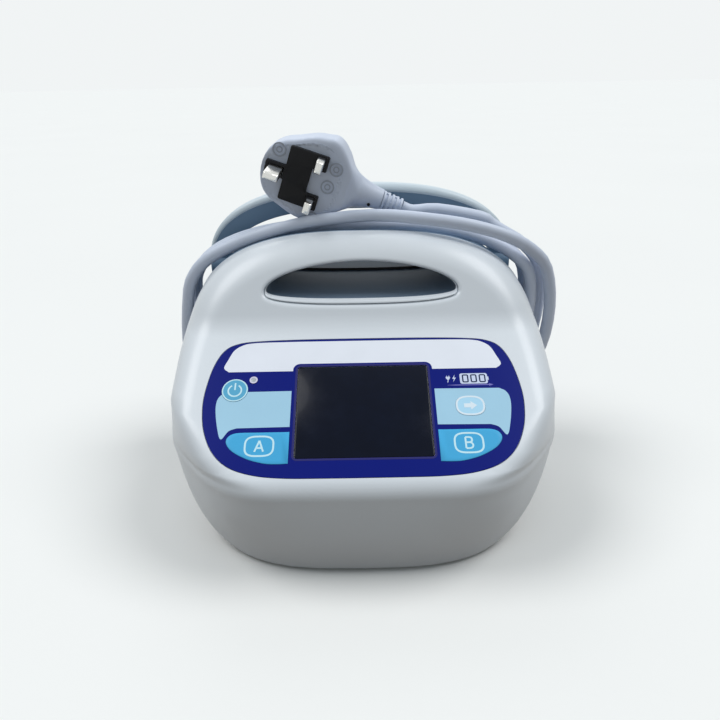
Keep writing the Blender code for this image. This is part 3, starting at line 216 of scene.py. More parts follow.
class Finish(NodeTree):
    """One material with its shader."""

    def __init__(self, name, **plain):
        self.material = bpy.data.materials.new(name)
        self.material.use_nodes = True
        super().__init__(self.material.node_tree)
        self.shader = self.tree.nodes["Principled BSDF"]
        for socket, value in plain.items():
            self.shader.inputs[socket.replace("_", " ")].default_value = value

    def feed(self, name, value):
        self.put(self.shader.inputs[name], value)

    def place(self):
        return self.node("ShaderNodeTexCoord", {}, {}, 3)

    def noise(self, scale, detail=2.0, roughness=0.5, stretch=None):
        spot = self.place()
        if stretch:
            spot = self.node("ShaderNodeMapping", {}, {"Vector": spot, "Scale": stretch})
        return self.node("ShaderNodeTexNoise", {},
                         {"Vector": spot, "Scale": scale, "Detail": detail, "Roughness": roughness})

    def mix(self, share, first, second):
        """A colour between two others."""
        return self.node("ShaderNodeMix", {"data_type": "RGBA"},
                         {0: share, 6: rgba(first), 7: rgba(second)}, 2)

    def edges(self, reach):
        """1 along outer edges that hands and shelves rub, 0 elsewhere."""
        raised = self.node("ShaderNodeNewGeometry", {}, {}, 7)
        return ((raised - 0.5 - reach) * (WEAR_GAIN / reach)).clamped()

    def bump(self, height, strength, distance):
        self.feed("Normal", self.node("ShaderNodeBump", {},
                                      {"Strength": strength, "Distance": distance,
                                       "Height": height}))


def rgba(value):
    return value if isinstance(value, Wire) else (*value, 1.0)


def shaded(colour, share):
    return tuple(min(v * share, 1.0) for v in colour)


def moulded(name, colour, gloss=0.42, grain=1800.0, depth=0.00003, strength=0.22, cloud=0.05,
            worn=None, coat=0.0, shine=0.45):
    """Moulded plastic: fine grain, slow clouds in colour and gloss, and rubbed edges."""
    made = Finish(name, Specular_IOR_Level=shine, Coat_Weight=coat, Coat_Roughness=0.18)
    slow = made.noise(14.0, 3.0)
    tone = made.mix(slow, shaded(colour, 1 - cloud), shaded(colour, 1 + cloud))
    if worn:
        rubbed = made.edges(0.05) * made.noise(240.0, 3.0)
        tone = made.mix(rubbed * 0.6, tone, worn)
    made.feed("Base Color", tone)
    fine = made.noise(grain, 3.0, 0.6)
    made.feed("Roughness", gloss + (fine - 0.5) * 0.12 + (slow - 0.5) * 0.10)
    made.bump(fine, strength, depth)
    return made.material


def printed(name, colour, gloss=0.36):
    """Ink behind the matt face of the film."""
    made = Finish(name, Specular_IOR_Level=0.11)
    slow = made.noise(55.0, 2.0)
    made.feed("Base Color", made.mix(slow, shaded(colour, 0.96), shaded(colour, 1.04)))
    fine = made.noise(3200.0, 2.0, 0.6)
    made.feed("Roughness", gloss + (fine - 0.5) * 0.10)
    made.bump(fine, 0.12, 0.00001)
    return made.material


def smoked_window(name, colour):
    """Glossy dark window with a faint veil of dust and finger marks."""
    made = Finish(name, Specular_IOR_Level=0.1, Coat_Roughness=0.05, Coat_IOR=1.15)
    veil = made.noise(70.0, 4.0, 0.6)
    made.feed("Base Color", made.mix((veil - 0.45).clamped() * 0.5, colour, shaded(colour, 3.0)))
    made.feed("Roughness", 0.14 + (veil - 0.4).clamped() * 0.35)
    made.feed("Coat Weight", 0.25 + veil * 0.25)
    return made.material


def soft_rubber(name, colour, grain=900.0):
    made = Finish(name, Specular_IOR_Level=0.3)
    dust = made.noise(60.0, 4.0, 0.65)
    made.feed("Base Color", made.mix((dust - 0.48).clamped() * 1.4, colour, shaded(colour, 2.6)))
    fine = made.noise(grain, 3.0)
    made.feed("Roughness", 0.78 + (fine - 0.5) * 0.16)
    made.bump(fine, 0.35, 0.00006)
    return made.material


def bright_metal(name, colour, gloss=0.28, along=(1.0, 1.0, 30.0), grain=260.0):
    """Plated or drawn metal with fine scratches along one way."""
    made = Finish(name, Metallic=1.0)
    scratch = made.noise(grain, 4.0, 0.7, along)
    slow = made.noise(40.0, 2.0)
    made.feed("Base Color", made.mix(slow, shaded(colour, 0.90), shaded(colour, 1.06)))
    made.feed("Roughness", gloss + (scratch - 0.5) * 0.22)
    made.bump(scratch, 0.15, 0.00002)
    return made.material


def circuit_board(name):
    """Green lacquer with copper tracks under it."""
    made = Finish(name, Specular_IOR_Level=0.5)
    cells = made.node("ShaderNodeTexVoronoi", {"distance": "MANHATTAN", "feature": "F1"},
                      {"Vector": made.place(), "Scale": 320.0})
    tracks = made.node("ShaderNodeValToRGB",
                       {"stops": ((0.30, paint(12, 82, 44)), (0.36, paint(40, 122, 66)))},
                       {0: cells})
    made.feed("Base Color", tracks)
    made.feed("Roughness", 0.34 + cells * 0.2)
    made.bump(cells, 0.3, 0.00008)
    return made.material


def clear_plastic(name, colour):
    """Milky clear plastic of the light guide and the air parts."""
    made = Finish(name, Specular_IOR_Level=0.5, Transmission_Weight=0.35, IOR=1.45)
    slow = made.noise(90.0, 3.0)
    made.feed("Base Color", made.mix(slow, shaded(colour, 0.9), colour))
    made.feed("Roughness", 0.20 + slow * 0.14)
    made.bump(slow, 0.1, 0.00005)
    return made.material


def cord_sheath(name, colour, grain=2600.0):
    """Soft satin sheath with slight soiling."""
    made = Finish(name, Specular_IOR_Level=0.4, Sheen_Weight=0.05)
    soil = made.noise(34.0, 4.0, 0.6)
    made.feed("Base Color", made.mix((soil - 0.42).clamped() * 1.2, colour, shaded(colour, 0.86)))
    fine = made.noise(grain, 2.0)
    made.feed("Roughness", 0.44 + (fine - 0.5) * 0.14)
    made.bump(fine, 0.16, 0.00003)
    return made.material


def sparked_plastic(name, colour):
    """The plug's face: a coarse spark-eroded grain."""
    made = Finish(name, Specular_IOR_Level=0.4)
    soil = made.noise(60.0, 3.0)
    made.feed("Base Color", made.mix(soil, shaded(colour, 0.93), shaded(colour, 1.03)))
    pits = made.node("ShaderNodeTexVoronoi", {"feature": "SMOOTH_F1"},
                     {"Vector": made.place(), "Scale": 760.0})
    made.feed("Roughness", 0.40 + pits * 0.25)
    made.bump(pits, 1.0, 0.00055)
    return made.material


def make_finishes(colours):
    """Every finish of the pump, by a plain name."""
    shell, slate, cord = tuple(colours.shell), tuple(colours.slate), tuple(colours.cord)
    zone = tuple(colours.zone)
    return {
        "shell": moulded("shell_white", shell, gloss=0.34, grain=2200.0, depth=0.00002,
                         strength=0.10, cloud=0.015, coat=0.12),
        "slate": moulded("slate_grained", slate, gloss=0.46, grain=1500.0, depth=0.00005,
                         strength=0.35, cloud=0.06, worn=shaded(slate, 1.5)),
        # Painted highlight: the bed hook's crown edge is the same slate, coloured much paler for
        # the light that falls on it from above.
        "slate_painted_highlight": moulded("slate_painted_highlight", paint(206, 219, 227), gloss=0.36, grain=1500.0,
                              depth=0.00004, cloud=0.04),
        # Scoop and sill: the slate darkened, painted shade inside the handle opening.
        "liner": moulded("liner_slate_painted_shade", tuple(colours.liner), grain=1500.0, depth=0.00004,
                         strength=0.25, shine=0.15),
        "sill": moulded("sill_slate_painted_shade", paint(96, 115, 135), gloss=0.40, grain=1500.0, depth=0.00004,
                        strength=0.25, shine=0.12),
        "film": printed("film_blue", tuple(colours.film), FILM_GLOSS),
        "header": printed("film_header", tuple(colours.header)),
        "zone": printed("film_zone", zone),
        "border": printed("film_border", tuple(colours.border), FILM_GLOSS),
        "window_ink": printed("film_cell", paint(20, 40, 78)),
        "symbol": printed("film_symbol", paint(212, 222, 246)),
        "faint": printed("film_faint", paint(128, 126, 200)),
        "key": printed("key_blue", tuple(colours.key), KEY_GLOSS),
        "power": printed("key_power_blue", tuple(colours.power), KEY_GLOSS),
        "next": printed("key_next_pale", shaded(zone, 1.14), KEY_GLOSS),
        "pale": printed("key_symbol", paint(205, 240, 250), KEY_GLOSS),
        "pale_next": printed("key_next_symbol", paint(228, 241, 250), KEY_GLOSS),
        "light_ring": printed("light_ring", paint(222, 218, 238), KEY_GLOSS),
        "window": smoked_window("window_smoked", tuple(colours.window)),
        "rubber": soft_rubber("rubber_black", tuple(colours.rubber)),
        "cord": cord_sheath("cord_sheath", cord),
        "plug": sparked_plastic("plug_face", cord),
        # The round marks: the cord's colour darkened, painted shade that outlines the moulded
        # rings.
        "plug_mark_painted_shade": cord_sheath("plug_mark_painted_shade", shaded(cord, 0.62), grain=1800.0),
        "plug_smooth": cord_sheath("plug_smooth", cord, grain=1800.0),
        "black": moulded("black_plastic", paint(13, 13, 16), grain=1400.0, depth=0.00004,
                         strength=0.3, cloud=0.12, worn=paint(52, 54, 58), shine=0.18),
        "pin": bright_metal("pin_plated", (0.72, 0.71, 0.68), gloss=0.22, along=(30.0, 30.0, 1.0)),
        "steel": bright_metal("steel_zinc", (0.56, 0.57, 0.59), gloss=0.32),
        "tray": bright_metal("steel_tray", (0.50, 0.52, 0.54), gloss=0.40, along=(1.0, 25.0, 1.0),
                             grain=180.0),
        "board": circuit_board("board_green"),
        "clear": clear_plastic("clear_plastic", (0.70, 0.76, 0.80)),
        "cells": moulded("cell_wrap", paint(52, 84, 150), gloss=0.30, grain=700.0, depth=0.00006,
                         strength=0.3, cloud=0.08),
        "rim": moulded("rim_pale", shaded(shell, 0.95), gloss=0.34, grain=2200.0, depth=0.00002,
                       strength=0.12, cloud=0.02),
        "port": moulded("port_pale", shaded(shell, 0.82), gloss=0.36, strength=0.2, cloud=0.03),
    }


finishes = {}


# Shapes

CORNER_SHARE = 0.45


def placed(name, data):
    """A new object in the scene."""
    thing = bpy.data.objects.new(name, data)
    bpy.context.scene.collection.objects.link(thing)
    return thing


def keep(name, mesh, body, finish, *nodes, smooth=30.0):
    """A piece with this mesh, finished, riding on its body and standing for its CAD nodes."""
    thing = placed(name, mesh)
    mesh.materials.clear()
    mesh.materials.append(finishes[finish])
    mesh.shade_smooth()
    mesh.set_sharp_from_angle(angle=math.radians(smooth))
    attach(thing, body)
    if nodes:
        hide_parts(*nodes)
    return thing


def ease_edges(thing, width, angle=30.0):
    """Rounds every edge that turns more sharply than the angle."""
    step = thing.modifiers.new("ease", "BEVEL")
    step.width = width
    step.segments = 3
    step.limit_method = "ANGLE"
    step.angle_limit = math.radians(angle)


def settled(thing):
    """The piece with its modifiers worked into its mesh."""
    bpy.context.view_layer.update()
    seen = thing.evaluated_get(bpy.context.evaluated_depsgraph_get())
    mesh = bpy.data.meshes.new_from_object(seen)
    thing.modifiers.clear()
    thing.data = mesh
    return thing


def shaped(mesh, tools):
    """A mesh with other meshes cut out of it."""
    holder = placed("blank", mesh)
    extras = []
    for number, tool in enumerate(tools):
        extra = placed("tool_" + str(number), tool)
        step = holder.modifiers.new(extra.name, "BOOLEAN")
        step.operation = "DIFFERENCE"
        step.solver = "EXACT"
        step.object = extra
        extras.append(extra)
    result = settled(holder).data
    for thing in extras + [holder]:
        bpy.data.objects.remove(thing, do_unlink=True)
    return result


def to_mesh(name, bm):
    bmesh.ops.recalc_face_normals(bm, faces=bm.faces)
    mesh = bpy.data.meshes.new(name)
    bm.to_mesh(mesh)
    bm.free()
    return mesh


def loft(name, rings, capped=True, closed=False):
    """A skin through rings of as many points each."""
    bm = bmesh.new()
    rows = [[bm.verts.new(point) for point in ring] for ring in rings]
    pairs = list(zip(rows, rows[1:])) + ([(rows[-1], rows[0])] if closed else [])
    for low, high in pairs:
        for here in range(len(low)):
            after = (here + 1) % len(low)
            bm.faces.new((low[here], low[after], high[after], high[here]))
    if capped and not closed:
        bm.faces.new(list(reversed(rows[0])))
        bm.faces.new(rows[-1])
    return to_mesh(name, bm)


def flat_ring(outline, height):
    return [Vector((x, y, height)) for x, y in outline]


def prism(name, outline, low, high):
    return loft(name, [flat_ring(outline, low), flat_ring(outline, high)])


def block(name, low, high):
    bm = bmesh.new()
    bmesh.ops.create_cube(bm, size=1)
    for vert in bm.verts:
        vert.co = Vector([low[i] + (vert.co[i] + 0.5) * (high[i] - low[i]) for i in range(3)])
    return to_mesh(name, bm)


def turned(name, profile, count, axis="Z", middle=(0, 0, 0), closed=False):
    """A solid turned about an axis, from (along, radius) pairs. A closed profile leaves a hole."""
    rings = []
    for along, radius in profile:
        ring = []
        for step in range(count):
            angle = 2 * math.pi * step / count
            first, second = radius * math.cos(angle), radius * math.sin(angle)
            spots = {"Z": (first, second, along), "Y": (first, along, second),
                     "X": (along, first, second)}
            ring.append(Vector(spots[axis]) + Vector(middle))
        rings.append(ring)
    return loft(name, rings, closed=closed)


def rounded_corner(before, here, after, radius, steps=4):
    """Points round one corner, which takes at most a share of each side."""
    a, b, c = Vector(before), Vector(here), Vector(after)
    reach = min(radius, (a - b).length * CORNER_SHARE, (c - b).length * CORNER_SHARE)
    start, end = b + (a - b).normalized() * reach, b + (c - b).normalized() * reach
    return [tuple(start * (1 - t) ** 2 + b * 2 * t * (1 - t) + end * t ** 2)
            for t in [step / steps for step in range(steps + 1)]]


def eased(profile, radius, steps=4):
    """A turned profile with its inner corners rounded."""
    result = [profile[0]]
    for corner in zip(profile, profile[1:], profile[2:]):
        result += rounded_corner(*corner, radius, steps)
    return result + [profile[-1]]


def softened(corners, radius):
    """A closed outline with each corner rounded."""
    result = []
    for here, corner in enumerate(corners):
        after = corners[(here + 1) % len(corners)]
        result += rounded_corner(corners[here - 1], corner, after, radius)
    return result


def quarter_turn(steps, start=0):
    """Sine and cosine at even steps of a quarter turn."""
    turns = [math.pi / 2 * step / steps for step in range(start, steps + 1)]
    return [(math.sin(turn), math.cos(turn)) for turn in turns]


def powered(value, power):
    """A sine or cosine as a superellipse of this power has it."""
    return math.copysign(abs(value) ** (2 / power), value)


def smooth_step(value, low, high):
    share = min(max((value - low) / (high - low), 0.0), 1.0)
    return share * share * (3 - 2 * share)


def between(spots, value):
    """A value read off a broken line of (place, value) pairs."""
    for (low, first), (high, second) in zip(spots, spots[1:]):
        if value <= high:
            share = max((value - low) / (high - low), 0.0)
            return first + (second - first) * share
    return spots[-1][1]


def egg(half_width, up, down, up_power, down_power, count):
    """A superellipse about its centre, with its own height and roundness above and below."""
    points = []
    for step in range(count):
        angle = 2 * math.pi * step / count
        across, along = math.cos(angle), math.sin(angle)
        power, height = (up_power, up) if along >= 0 else (down_power, down)
        points.append((half_width * powered(across, power), height * powered(along, power)))
    return points


def grown(outline, margin):
    """The outline moved outwards by a margin."""
    result = []
    for here, (x, y) in enumerate(outline):
        before, after = outline[here - 1], outline[(here + 1) % len(outline)]
        along = Vector((after[0] - before[0], after[1] - before[1])).normalized()
        result.append((x + along.y * margin, y - along.x * margin))
    return result


def rounded_box(half_x, half_y, radius, steps=8):
    points = []
    for number, (side_x, side_y) in enumerate(((1, 1), (-1, 1), (-1, -1), (1, -1))):
        for step in range(steps + 1):
            angle = math.pi / 2 * (number + step / steps)
            points.append((side_x * (half_x - radius) + radius * math.cos(angle),
                           side_y * (half_y - radius) + radius * math.sin(angle)))
    return points


def shifted(outline, x, y):
    return [(x + px, y + py) for px, py in outline]


def circle(radius, count=64):
    return [(radius * math.cos(2 * math.pi * k / count), radius * math.sin(2 * math.pi * k / count))
            for k in range(count)]


def spline(points, steps, closed=True):
    """A smooth curve through the points."""
    result = []
    count = len(points)
    spots = [Vector(p) for p in points]
    for here in range(count if closed else count - 1):
        a, b, c, d = (spots[(here + k) % count] for k in (-1, 0, 1, 2))
        if not closed:
            a = a if here else b * 2 - c
            d = d if here + 2 < count else c * 2 - b
        for step in range(steps):
            t = step / steps
            result.append(tuple(0.5 * ((2 * b) + (c - a) * t + (2 * a - 5 * b + 4 * c - d) * t * t
                                       + (3 * b - a - 3 * c + d) * t ** 3)))
    return result if closed else result + [tuple(spots[-1])]


# The housing's surface, as in the solids

HALF_WIDTH = 0.0975
HOUSING_TOP = 0.1429
BASE_Z = 0.0025
WIDEST_Z = 0.076
UNDERCUT = 0.0016
UPPER_ROUNDNESS = 2.75
LOWER_ROUNDNESS = 4.66
TAPER = 0.044
TAPER_POWER = 1.5
PANEL_SLOPE = math.radians(31)
HANDLE_LEAN = math.radians(33)
FRONT_LEAN = math.radians(3.9)
SOFT_EDGE_R = 0.0102
SOFT_EDGE_Z = 0.05006
HANDLE_FOOT_Z = 0.1025
HANDLE_BLEND_R = 0.028
PARTING_DEPTH = 0.117
SIDE_ROUND = 0.027
LOW_SIDE_ROUND = 0.0434
SIDE_ROUND_POWER = 3.2
TOP_ROUND = 0.009
BASE_ROUND = 0.0053
ROUND_SHARE = 0.16
LOW_ROUND_SHARE = 0.364
SPLAY_DROP = 0.022
ROUND_POWER = 2.0
SPLAY_POWER = 1.12
FRONT_BOW = 0.0026
DRAFT = 0.0006
TURN_EASE = 0.08
TURN_EASE_SPLAYED = 0.44
FACE_STEPS = 30
BORDER_STEPS = 30
SOFT_EDGE_STEPS = 14
BLEND_STEPS = 10
UP = HOUSING_TOP - WIDEST_Z
DOWN = WIDEST_Z - BASE_Z + UNDERCUT
PANEL_RUN = math.tan(math.pi / 2 - PANEL_SLOPE)
PANEL_FOOT_DEPTH = SOFT_EDGE_R * (1 - math.sin(PANEL_SLOPE))
PANEL_FOOT_Z = SOFT_EDGE_Z + SOFT_EDGE_R * math.cos(PANEL_SLOPE)
FRONT_FOOT_DEPTH = SOFT_EDGE_R * (1 - math.cos(FRONT_LEAN))
FRONT_FOOT_Z = SOFT_EDGE_Z - SOFT_EDGE_R * math.sin(FRONT_LEAN)
HANDLE_FOOT_DEPTH = PANEL_FOOT_DEPTH + (HANDLE_FOOT_Z - PANEL_FOOT_Z) * PANEL_RUN
BLEND_TANGENT = HANDLE_BLEND_R * math.tan((math.pi / 2 - PANEL_SLOPE - HANDLE_LEAN) / 2)
BLEND_LOW_Z = HANDLE_FOOT_Z - BLEND_TANGENT * math.sin(PANEL_SLOPE)
BLEND_HIGH_Z = HANDLE_FOOT_Z + BLEND_TANGENT * math.cos(HANDLE_LEAN)


def profile_depth(z):
    """Depth of the housing's middle line at a height."""
    if z < FRONT_FOOT_Z:
        return FRONT_FOOT_DEPTH + (FRONT_FOOT_Z - z) * math.tan(FRONT_LEAN)
    if z < PANEL_FOOT_Z:
        return SOFT_EDGE_R - math.sqrt(SOFT_EDGE_R ** 2 - (z - SOFT_EDGE_Z) ** 2)
    if z < BLEND_LOW_Z:
        return PANEL_FOOT_DEPTH + (z - PANEL_FOOT_Z) * PANEL_RUN
    low = PANEL_FOOT_DEPTH + (BLEND_LOW_Z - PANEL_FOOT_Z) * PANEL_RUN
    if z < BLEND_HIGH_Z:
        centre_depth = low - HANDLE_BLEND_R * math.sin(PANEL_SLOPE)
        centre_z = BLEND_LOW_Z + HANDLE_BLEND_R * math.cos(PANEL_SLOPE)
        return centre_depth + math.sqrt(HANDLE_BLEND_R ** 2 - (centre_z - z) ** 2)
    return HANDLE_FOOT_DEPTH + (z - HANDLE_FOOT_Z) * math.tan(HANDLE_LEAN)


def taper(z):
    drop = max((WIDEST_Z - z) / DOWN, 0.0)
    return 1 - TAPER * drop ** TAPER_POWER


def housing_outline(inset, foot, facets):
    shape = egg(HALF_WIDTH - inset, UP - inset, DOWN - UNDERCUT - foot, UPPER_ROUNDNESS,
                LOWER_ROUNDNESS, facets)
    return [(x * taper(WIDEST_Z + z), WIDEST_Z + z) for x, z in shape]


def splay(z):
    """0 where the sides have a plain rounded border and 1 where they splay out to the rear."""
    return smooth_step(WIDEST_Z - z, 0, SPLAY_DROP)


def round_share(z):
    return ROUND_SHARE + (LOW_ROUND_SHARE - ROUND_SHARE) * splay(z)


def housing_depth(x, z):
    """Depth of the housing's face, with its rounded border."""
    power, height = (UPPER_ROUNDNESS, UP) if z >= WIDEST_Z else (LOWER_ROUNDNESS, DOWN)
    across = abs(x) / HALF_WIDTH / taper(z)
    share = (across ** power + abs((z - WIDEST_Z) / height) ** power) ** (1 / power)
    low_front = 1 - smooth_step(z, FRONT_FOOT_Z - SOFT_EDGE_R / 2, PANEL_FOOT_Z)
    depth = profile_depth(z) + FRONT_BOW * low_front * (x / HALF_WIDTH) ** 2
    border = round_share(z)
    turn = min((share - 1 + border) / border, 1.0)
    ease = TURN_EASE + TURN_EASE_SPLAYED * splay(z)
    if turn > -ease:
        if turn < ease:
            turn = (turn + ease) ** 2 / (4 * ease)
        sideways = (across / share) ** SIDE_ROUND_POWER
        end = TOP_ROUND if z >= WIDEST_Z else BASE_ROUND
        side = SIDE_ROUND + (LOW_SIDE_ROUND - SIDE_ROUND) * splay(z)
        bend = ROUND_POWER + (SPLAY_POWER - ROUND_POWER) * splay(z)
        depth += (end + (side - end) * sideways) * (1 - (1 - turn ** bend) ** (1 / bend))
    return depth


def face_skin(facets):
    """The housing's face and walls as one open skin."""
    shape = egg(HALF_WIDTH, UP, DOWN, UPPER_ROUNDNESS, LOWER_ROUNDNESS, facets)
    bm = bmesh.new()
    hub = bm.verts.new((0, 0, WIDEST_Z))
    rows = []
    for step in range(1, FACE_STEPS + BORDER_STEPS + 1):
        row = []
        for x, z in shape:
            border = round_share(WIDEST_Z + z)
            if step <= FACE_STEPS:
                share = step / FACE_STEPS * (1 - border)
            else:
                turn = math.pi / 2 * (step - FACE_STEPS) / BORDER_STEPS
                share = 1 - border + border * math.sin(turn)
            height = WIDEST_Z + z * share
            row.append(bm.verts.new((x * share * taper(height), 0, height)))
        rows.append(row)
    for here in range(facets):
        after = (here + 1) % facets
        bm.faces.new((hub, rows[0][here], rows[0][after]))
        for low, high in zip(rows, rows[1:]):
            bm.faces.new((low[here], high[here], high[after], low[after]))
    sweep = math.pi / 2 - PANEL_SLOPE + FRONT_LEAN
    heights = [SOFT_EDGE_Z + SOFT_EDGE_R * math.sin(sweep * k / SOFT_EDGE_STEPS - FRONT_LEAN)
               for k in range(SOFT_EDGE_STEPS + 1)]
    heights += [BLEND_LOW_Z + (BLEND_HIGH_Z - BLEND_LOW_Z) * k / BLEND_STEPS
                for k in range(BLEND_STEPS + 1)]
    for height in heights:
        bmesh.ops.bisect_plane(bm, geom=bm.verts[:] + bm.edges[:] + bm.faces[:],
                               plane_co=(0, 0, height), plane_no=(0, 0, 1))
    rim = [edge for edge in bm.edges if edge.is_boundary]
    made = bmesh.ops.extrude_edge_only(bm, edges=rim)
    wall = {item for item in made["geom"] if isinstance(item, bmesh.types.BMVert)}
    for vert in bm.verts:
        if vert in wall:
            vert.co.y = back(PARTING_DEPTH)
            vert.co += Vector((vert.co.x, 0, vert.co.z - WIDEST_Z)).normalized() * DRAFT
        else:
            vert.co.y = back(housing_depth(vert.co.x, vert.co.z))
    for vert in bm.verts:
        vert.co.z = max(vert.co.z, BASE_Z)
    bmesh.ops.recalc_face_normals(bm, faces=bm.faces)
    middle = min(bm.faces, key=lambda face: (face.calc_center_median() - hub.co).length)
    if middle.normal.y > 0:
        bmesh.ops.reverse_faces(bm, faces=bm.faces)
    mesh = bpy.data.meshes.new("front_skin")
    bm.to_mesh(mesh)
    bm.free()
    return mesh


# The handle opening

OPENING_HALF_WIDTH = 0.0525
OPENING_LOW_Z = 0.1115
OPENING_TOP_Z = 0.1330
OPENING_END_Z = 0.1180
OPENING_UP_POWER = 1.85
OPENING_DOWN_POWER = 2.5
OPENING_FACETS = 160
RIM_DEEP = 0.005
LINER_WALL = 0.0018
LINER_RISE = 0.005
PLATE_BACK = 0.1481
LIP_REACH = 0.0050
LIP_GAP = 0.00045
LIP_STEPS = 6
MOUTH_SIDE = 0.0012
MOUTH_HIGH = 0.0019
MOUTH_LOW = 0.0008
RIM_SINK = 0.0003
RIM_ROUND = 0.0011
RIM_REST = 0.0012
SCOOP_FLARE = 0.0014
SILL_FRONT = 0.1355
SILL_REAR = PLATE_BACK - 0.0010
# Width of the black strip before the sill, a painted shadow of the gap.
SILL_SHADOW_STRIP = 0.0004
SILL_RISE = 0.0014
SILL_SHARE = 0.93
SILL_STEPS = 48
SILL_SINK = 0.0004
SILL_ROUND = 0.0002


def opening(margin, rise=0.0):
    """The opening's outline in X and Z, grown by a margin, its floor raised."""
    up = OPENING_TOP_Z - OPENING_END_Z - rise / 2
    down = OPENING_END_Z - OPENING_LOW_Z - rise / 2
    shape = egg(OPENING_HALF_WIDTH, up, down, OPENING_UP_POWER, OPENING_DOWN_POWER, OPENING_FACETS)
    return grown(shifted(shape, 0, OPENING_END_Z + rise / 2), margin)


def mouth(sizes, share=0.0):
    """The visible edge of the opening, from its seam at 0 to the inner edge of its rim at 1."""
    side = MOUTH_SIDE + share * (sizes.seam_low + sizes.seam_high) / 3
    up = OPENING_TOP_Z - OPENING_END_Z - MOUTH_HIGH - share * sizes.seam_high
    down = OPENING_END_Z - OPENING_LOW_Z - MOUTH_LOW - share * sizes.seam_low
    shape = egg(OPENING_HALF_WIDTH - side, up, down, OPENING_UP_POWER, OPENING_DOWN_POWER,
                OPENING_FACETS)
    return shifted(shape, 0, OPENING_END_Z)


def face_ring(outline, sink=0.0):
    """The outline laid on the housing's face, sunk a little behind it."""
    return [Vector((x, back(housing_depth(x, z) + sink), z)) for x, z in outline]


def depth_ring(outline, depth):
    return [Vector((x, back(depth), z)) for x, z in outline]


def build_front_shell(sizes):
    """The front shell with its panel recess, its holes and the rounded edge of the opening."""
    skin = placed("skin", face_skin(sizes.facets))
    wall = skin.modifiers.new("wall", "SOLIDIFY")
    wall.thickness = WALL
    wall.offset = -1
    wall.use_even_offset = True
    mesh = settled(skin).data
    bpy.data.objects.remove(skin, do_unlink=True)
    tools = [prism("recess", grown(panel_outline(), GAP), -FILM_RECESS, OVERRUN)]
    tools += [prism(name, outline, -WALL - OVERRUN, OVERRUN) for name, outline in panel_holes(GAP)]
    tools = [on_panel(tool) for tool in tools]
    tools.append(loft("hole", [depth_ring(grown(mouth(sizes), LIP_GAP + LIP_REACH), d)
                               for d in (HANDLE_FOOT_DEPTH - OVERRUN, PARTING_DEPTH + OVERRUN)]))
    shell = keep("front_shell_moulding", shaped(mesh, tools), "housing", "shell", "front_shell",
                 smooth=34.0)
    radius = sizes.lip_round
    steps = [LIP_REACH + (radius - LIP_REACH) * step / LIP_STEPS for step in range(LIP_STEPS + 1)]
    spots = [(reach, 0.0) for reach in steps]
    spots += [(radius * (1 - sine), radius * (1 - cosine))
              for sine, cosine in quarter_turn(LIP_STEPS, 1)]
    spots.append((0.0, RIM_DEEP + radius))
    rings = [face_ring(grown(mouth(sizes), LIP_GAP + reach), sink) for reach, sink in spots]
    keep("handle_lip", loft("handle_lip", rings, capped=False), "housing", "shell", smooth=60.0)
    return shell


def build_handle(sizes):
    """The pale rim in the opening, the slate scoop behind it and the sill on the scoop's floor,
    both painted darker as painted shade, and a black strip before the sill that paints the shadow
    of the gap there.
    """
    spots = [(0.0, RIM_DEEP), (0.0, RIM_SINK + 0.0004), (0.12, RIM_SINK)]
    spots += [(0.45 + 0.55 * sine, RIM_SINK + RIM_ROUND * (1 - cosine))
              for sine, cosine in quarter_turn(LIP_STEPS)]
    spots.append((1.0, RIM_DEEP - 0.0006))
    rings = [rim_ring(sizes, share, deep) for share, deep in spots]
    rings.append(face_ring(opening(0), RIM_DEEP))
    keep("handle_rim_lip", loft("handle_rim_lip", rings, capped=False), "housing", "rim",
         "handle_rim", smooth=50.0)
    rings = [face_ring(opening(LINER_WALL), RIM_DEEP + GAP), face_ring(opening(0), RIM_DEEP + GAP),
             face_ring(opening(0), RIM_DEEP + 0.004)]
    rings += [scoop_ring(0.0, share) for share in (0.25, 0.5, 0.75, 0.92)]
    rings += [scoop_ring(SCOOP_FLARE * (1 - cosine), 1.0, -SCOOP_FLARE * (1 - sine))
              for sine, cosine in quarter_turn(LIP_STEPS)]
    rings += [scoop_ring(LINER_WALL, 1.0), scoop_ring(LINER_WALL, 0.5)]
    # The black strip before the sill is a painted shadow of the gap between the front liner and the
    # rear plate's rim.
    for name, finish, front, rear in (
            ("handle_sill", "sill", SILL_FRONT, SILL_REAR),
            ("handle_sill_painted_shadow", "black", SILL_FRONT - SILL_SHADOW_STRIP, SILL_FRONT)):
        keep(name, sill(name, front, rear), "housing", finish, smooth=40.0)
    keep("handle_scoop", loft("handle_scoop", rings, closed=True), "housing", "liner",
         "handle_liner", smooth=50.0)


def rim_ring(sizes, share, deep):
    """A ring of the rim, which sinks out of sight over the opening."""
    outline = mouth(sizes, share)
    low, high = face_ring(outline, deep), face_ring(outline, max(deep, RIM_DEEP - RIM_REST))
    start, end = OPENING_END_Z - 0.0022, OPENING_END_Z + 0.0010
    return [a.lerp(b, smooth_step(a.z, start, end)) for a, b in zip(low, high)]


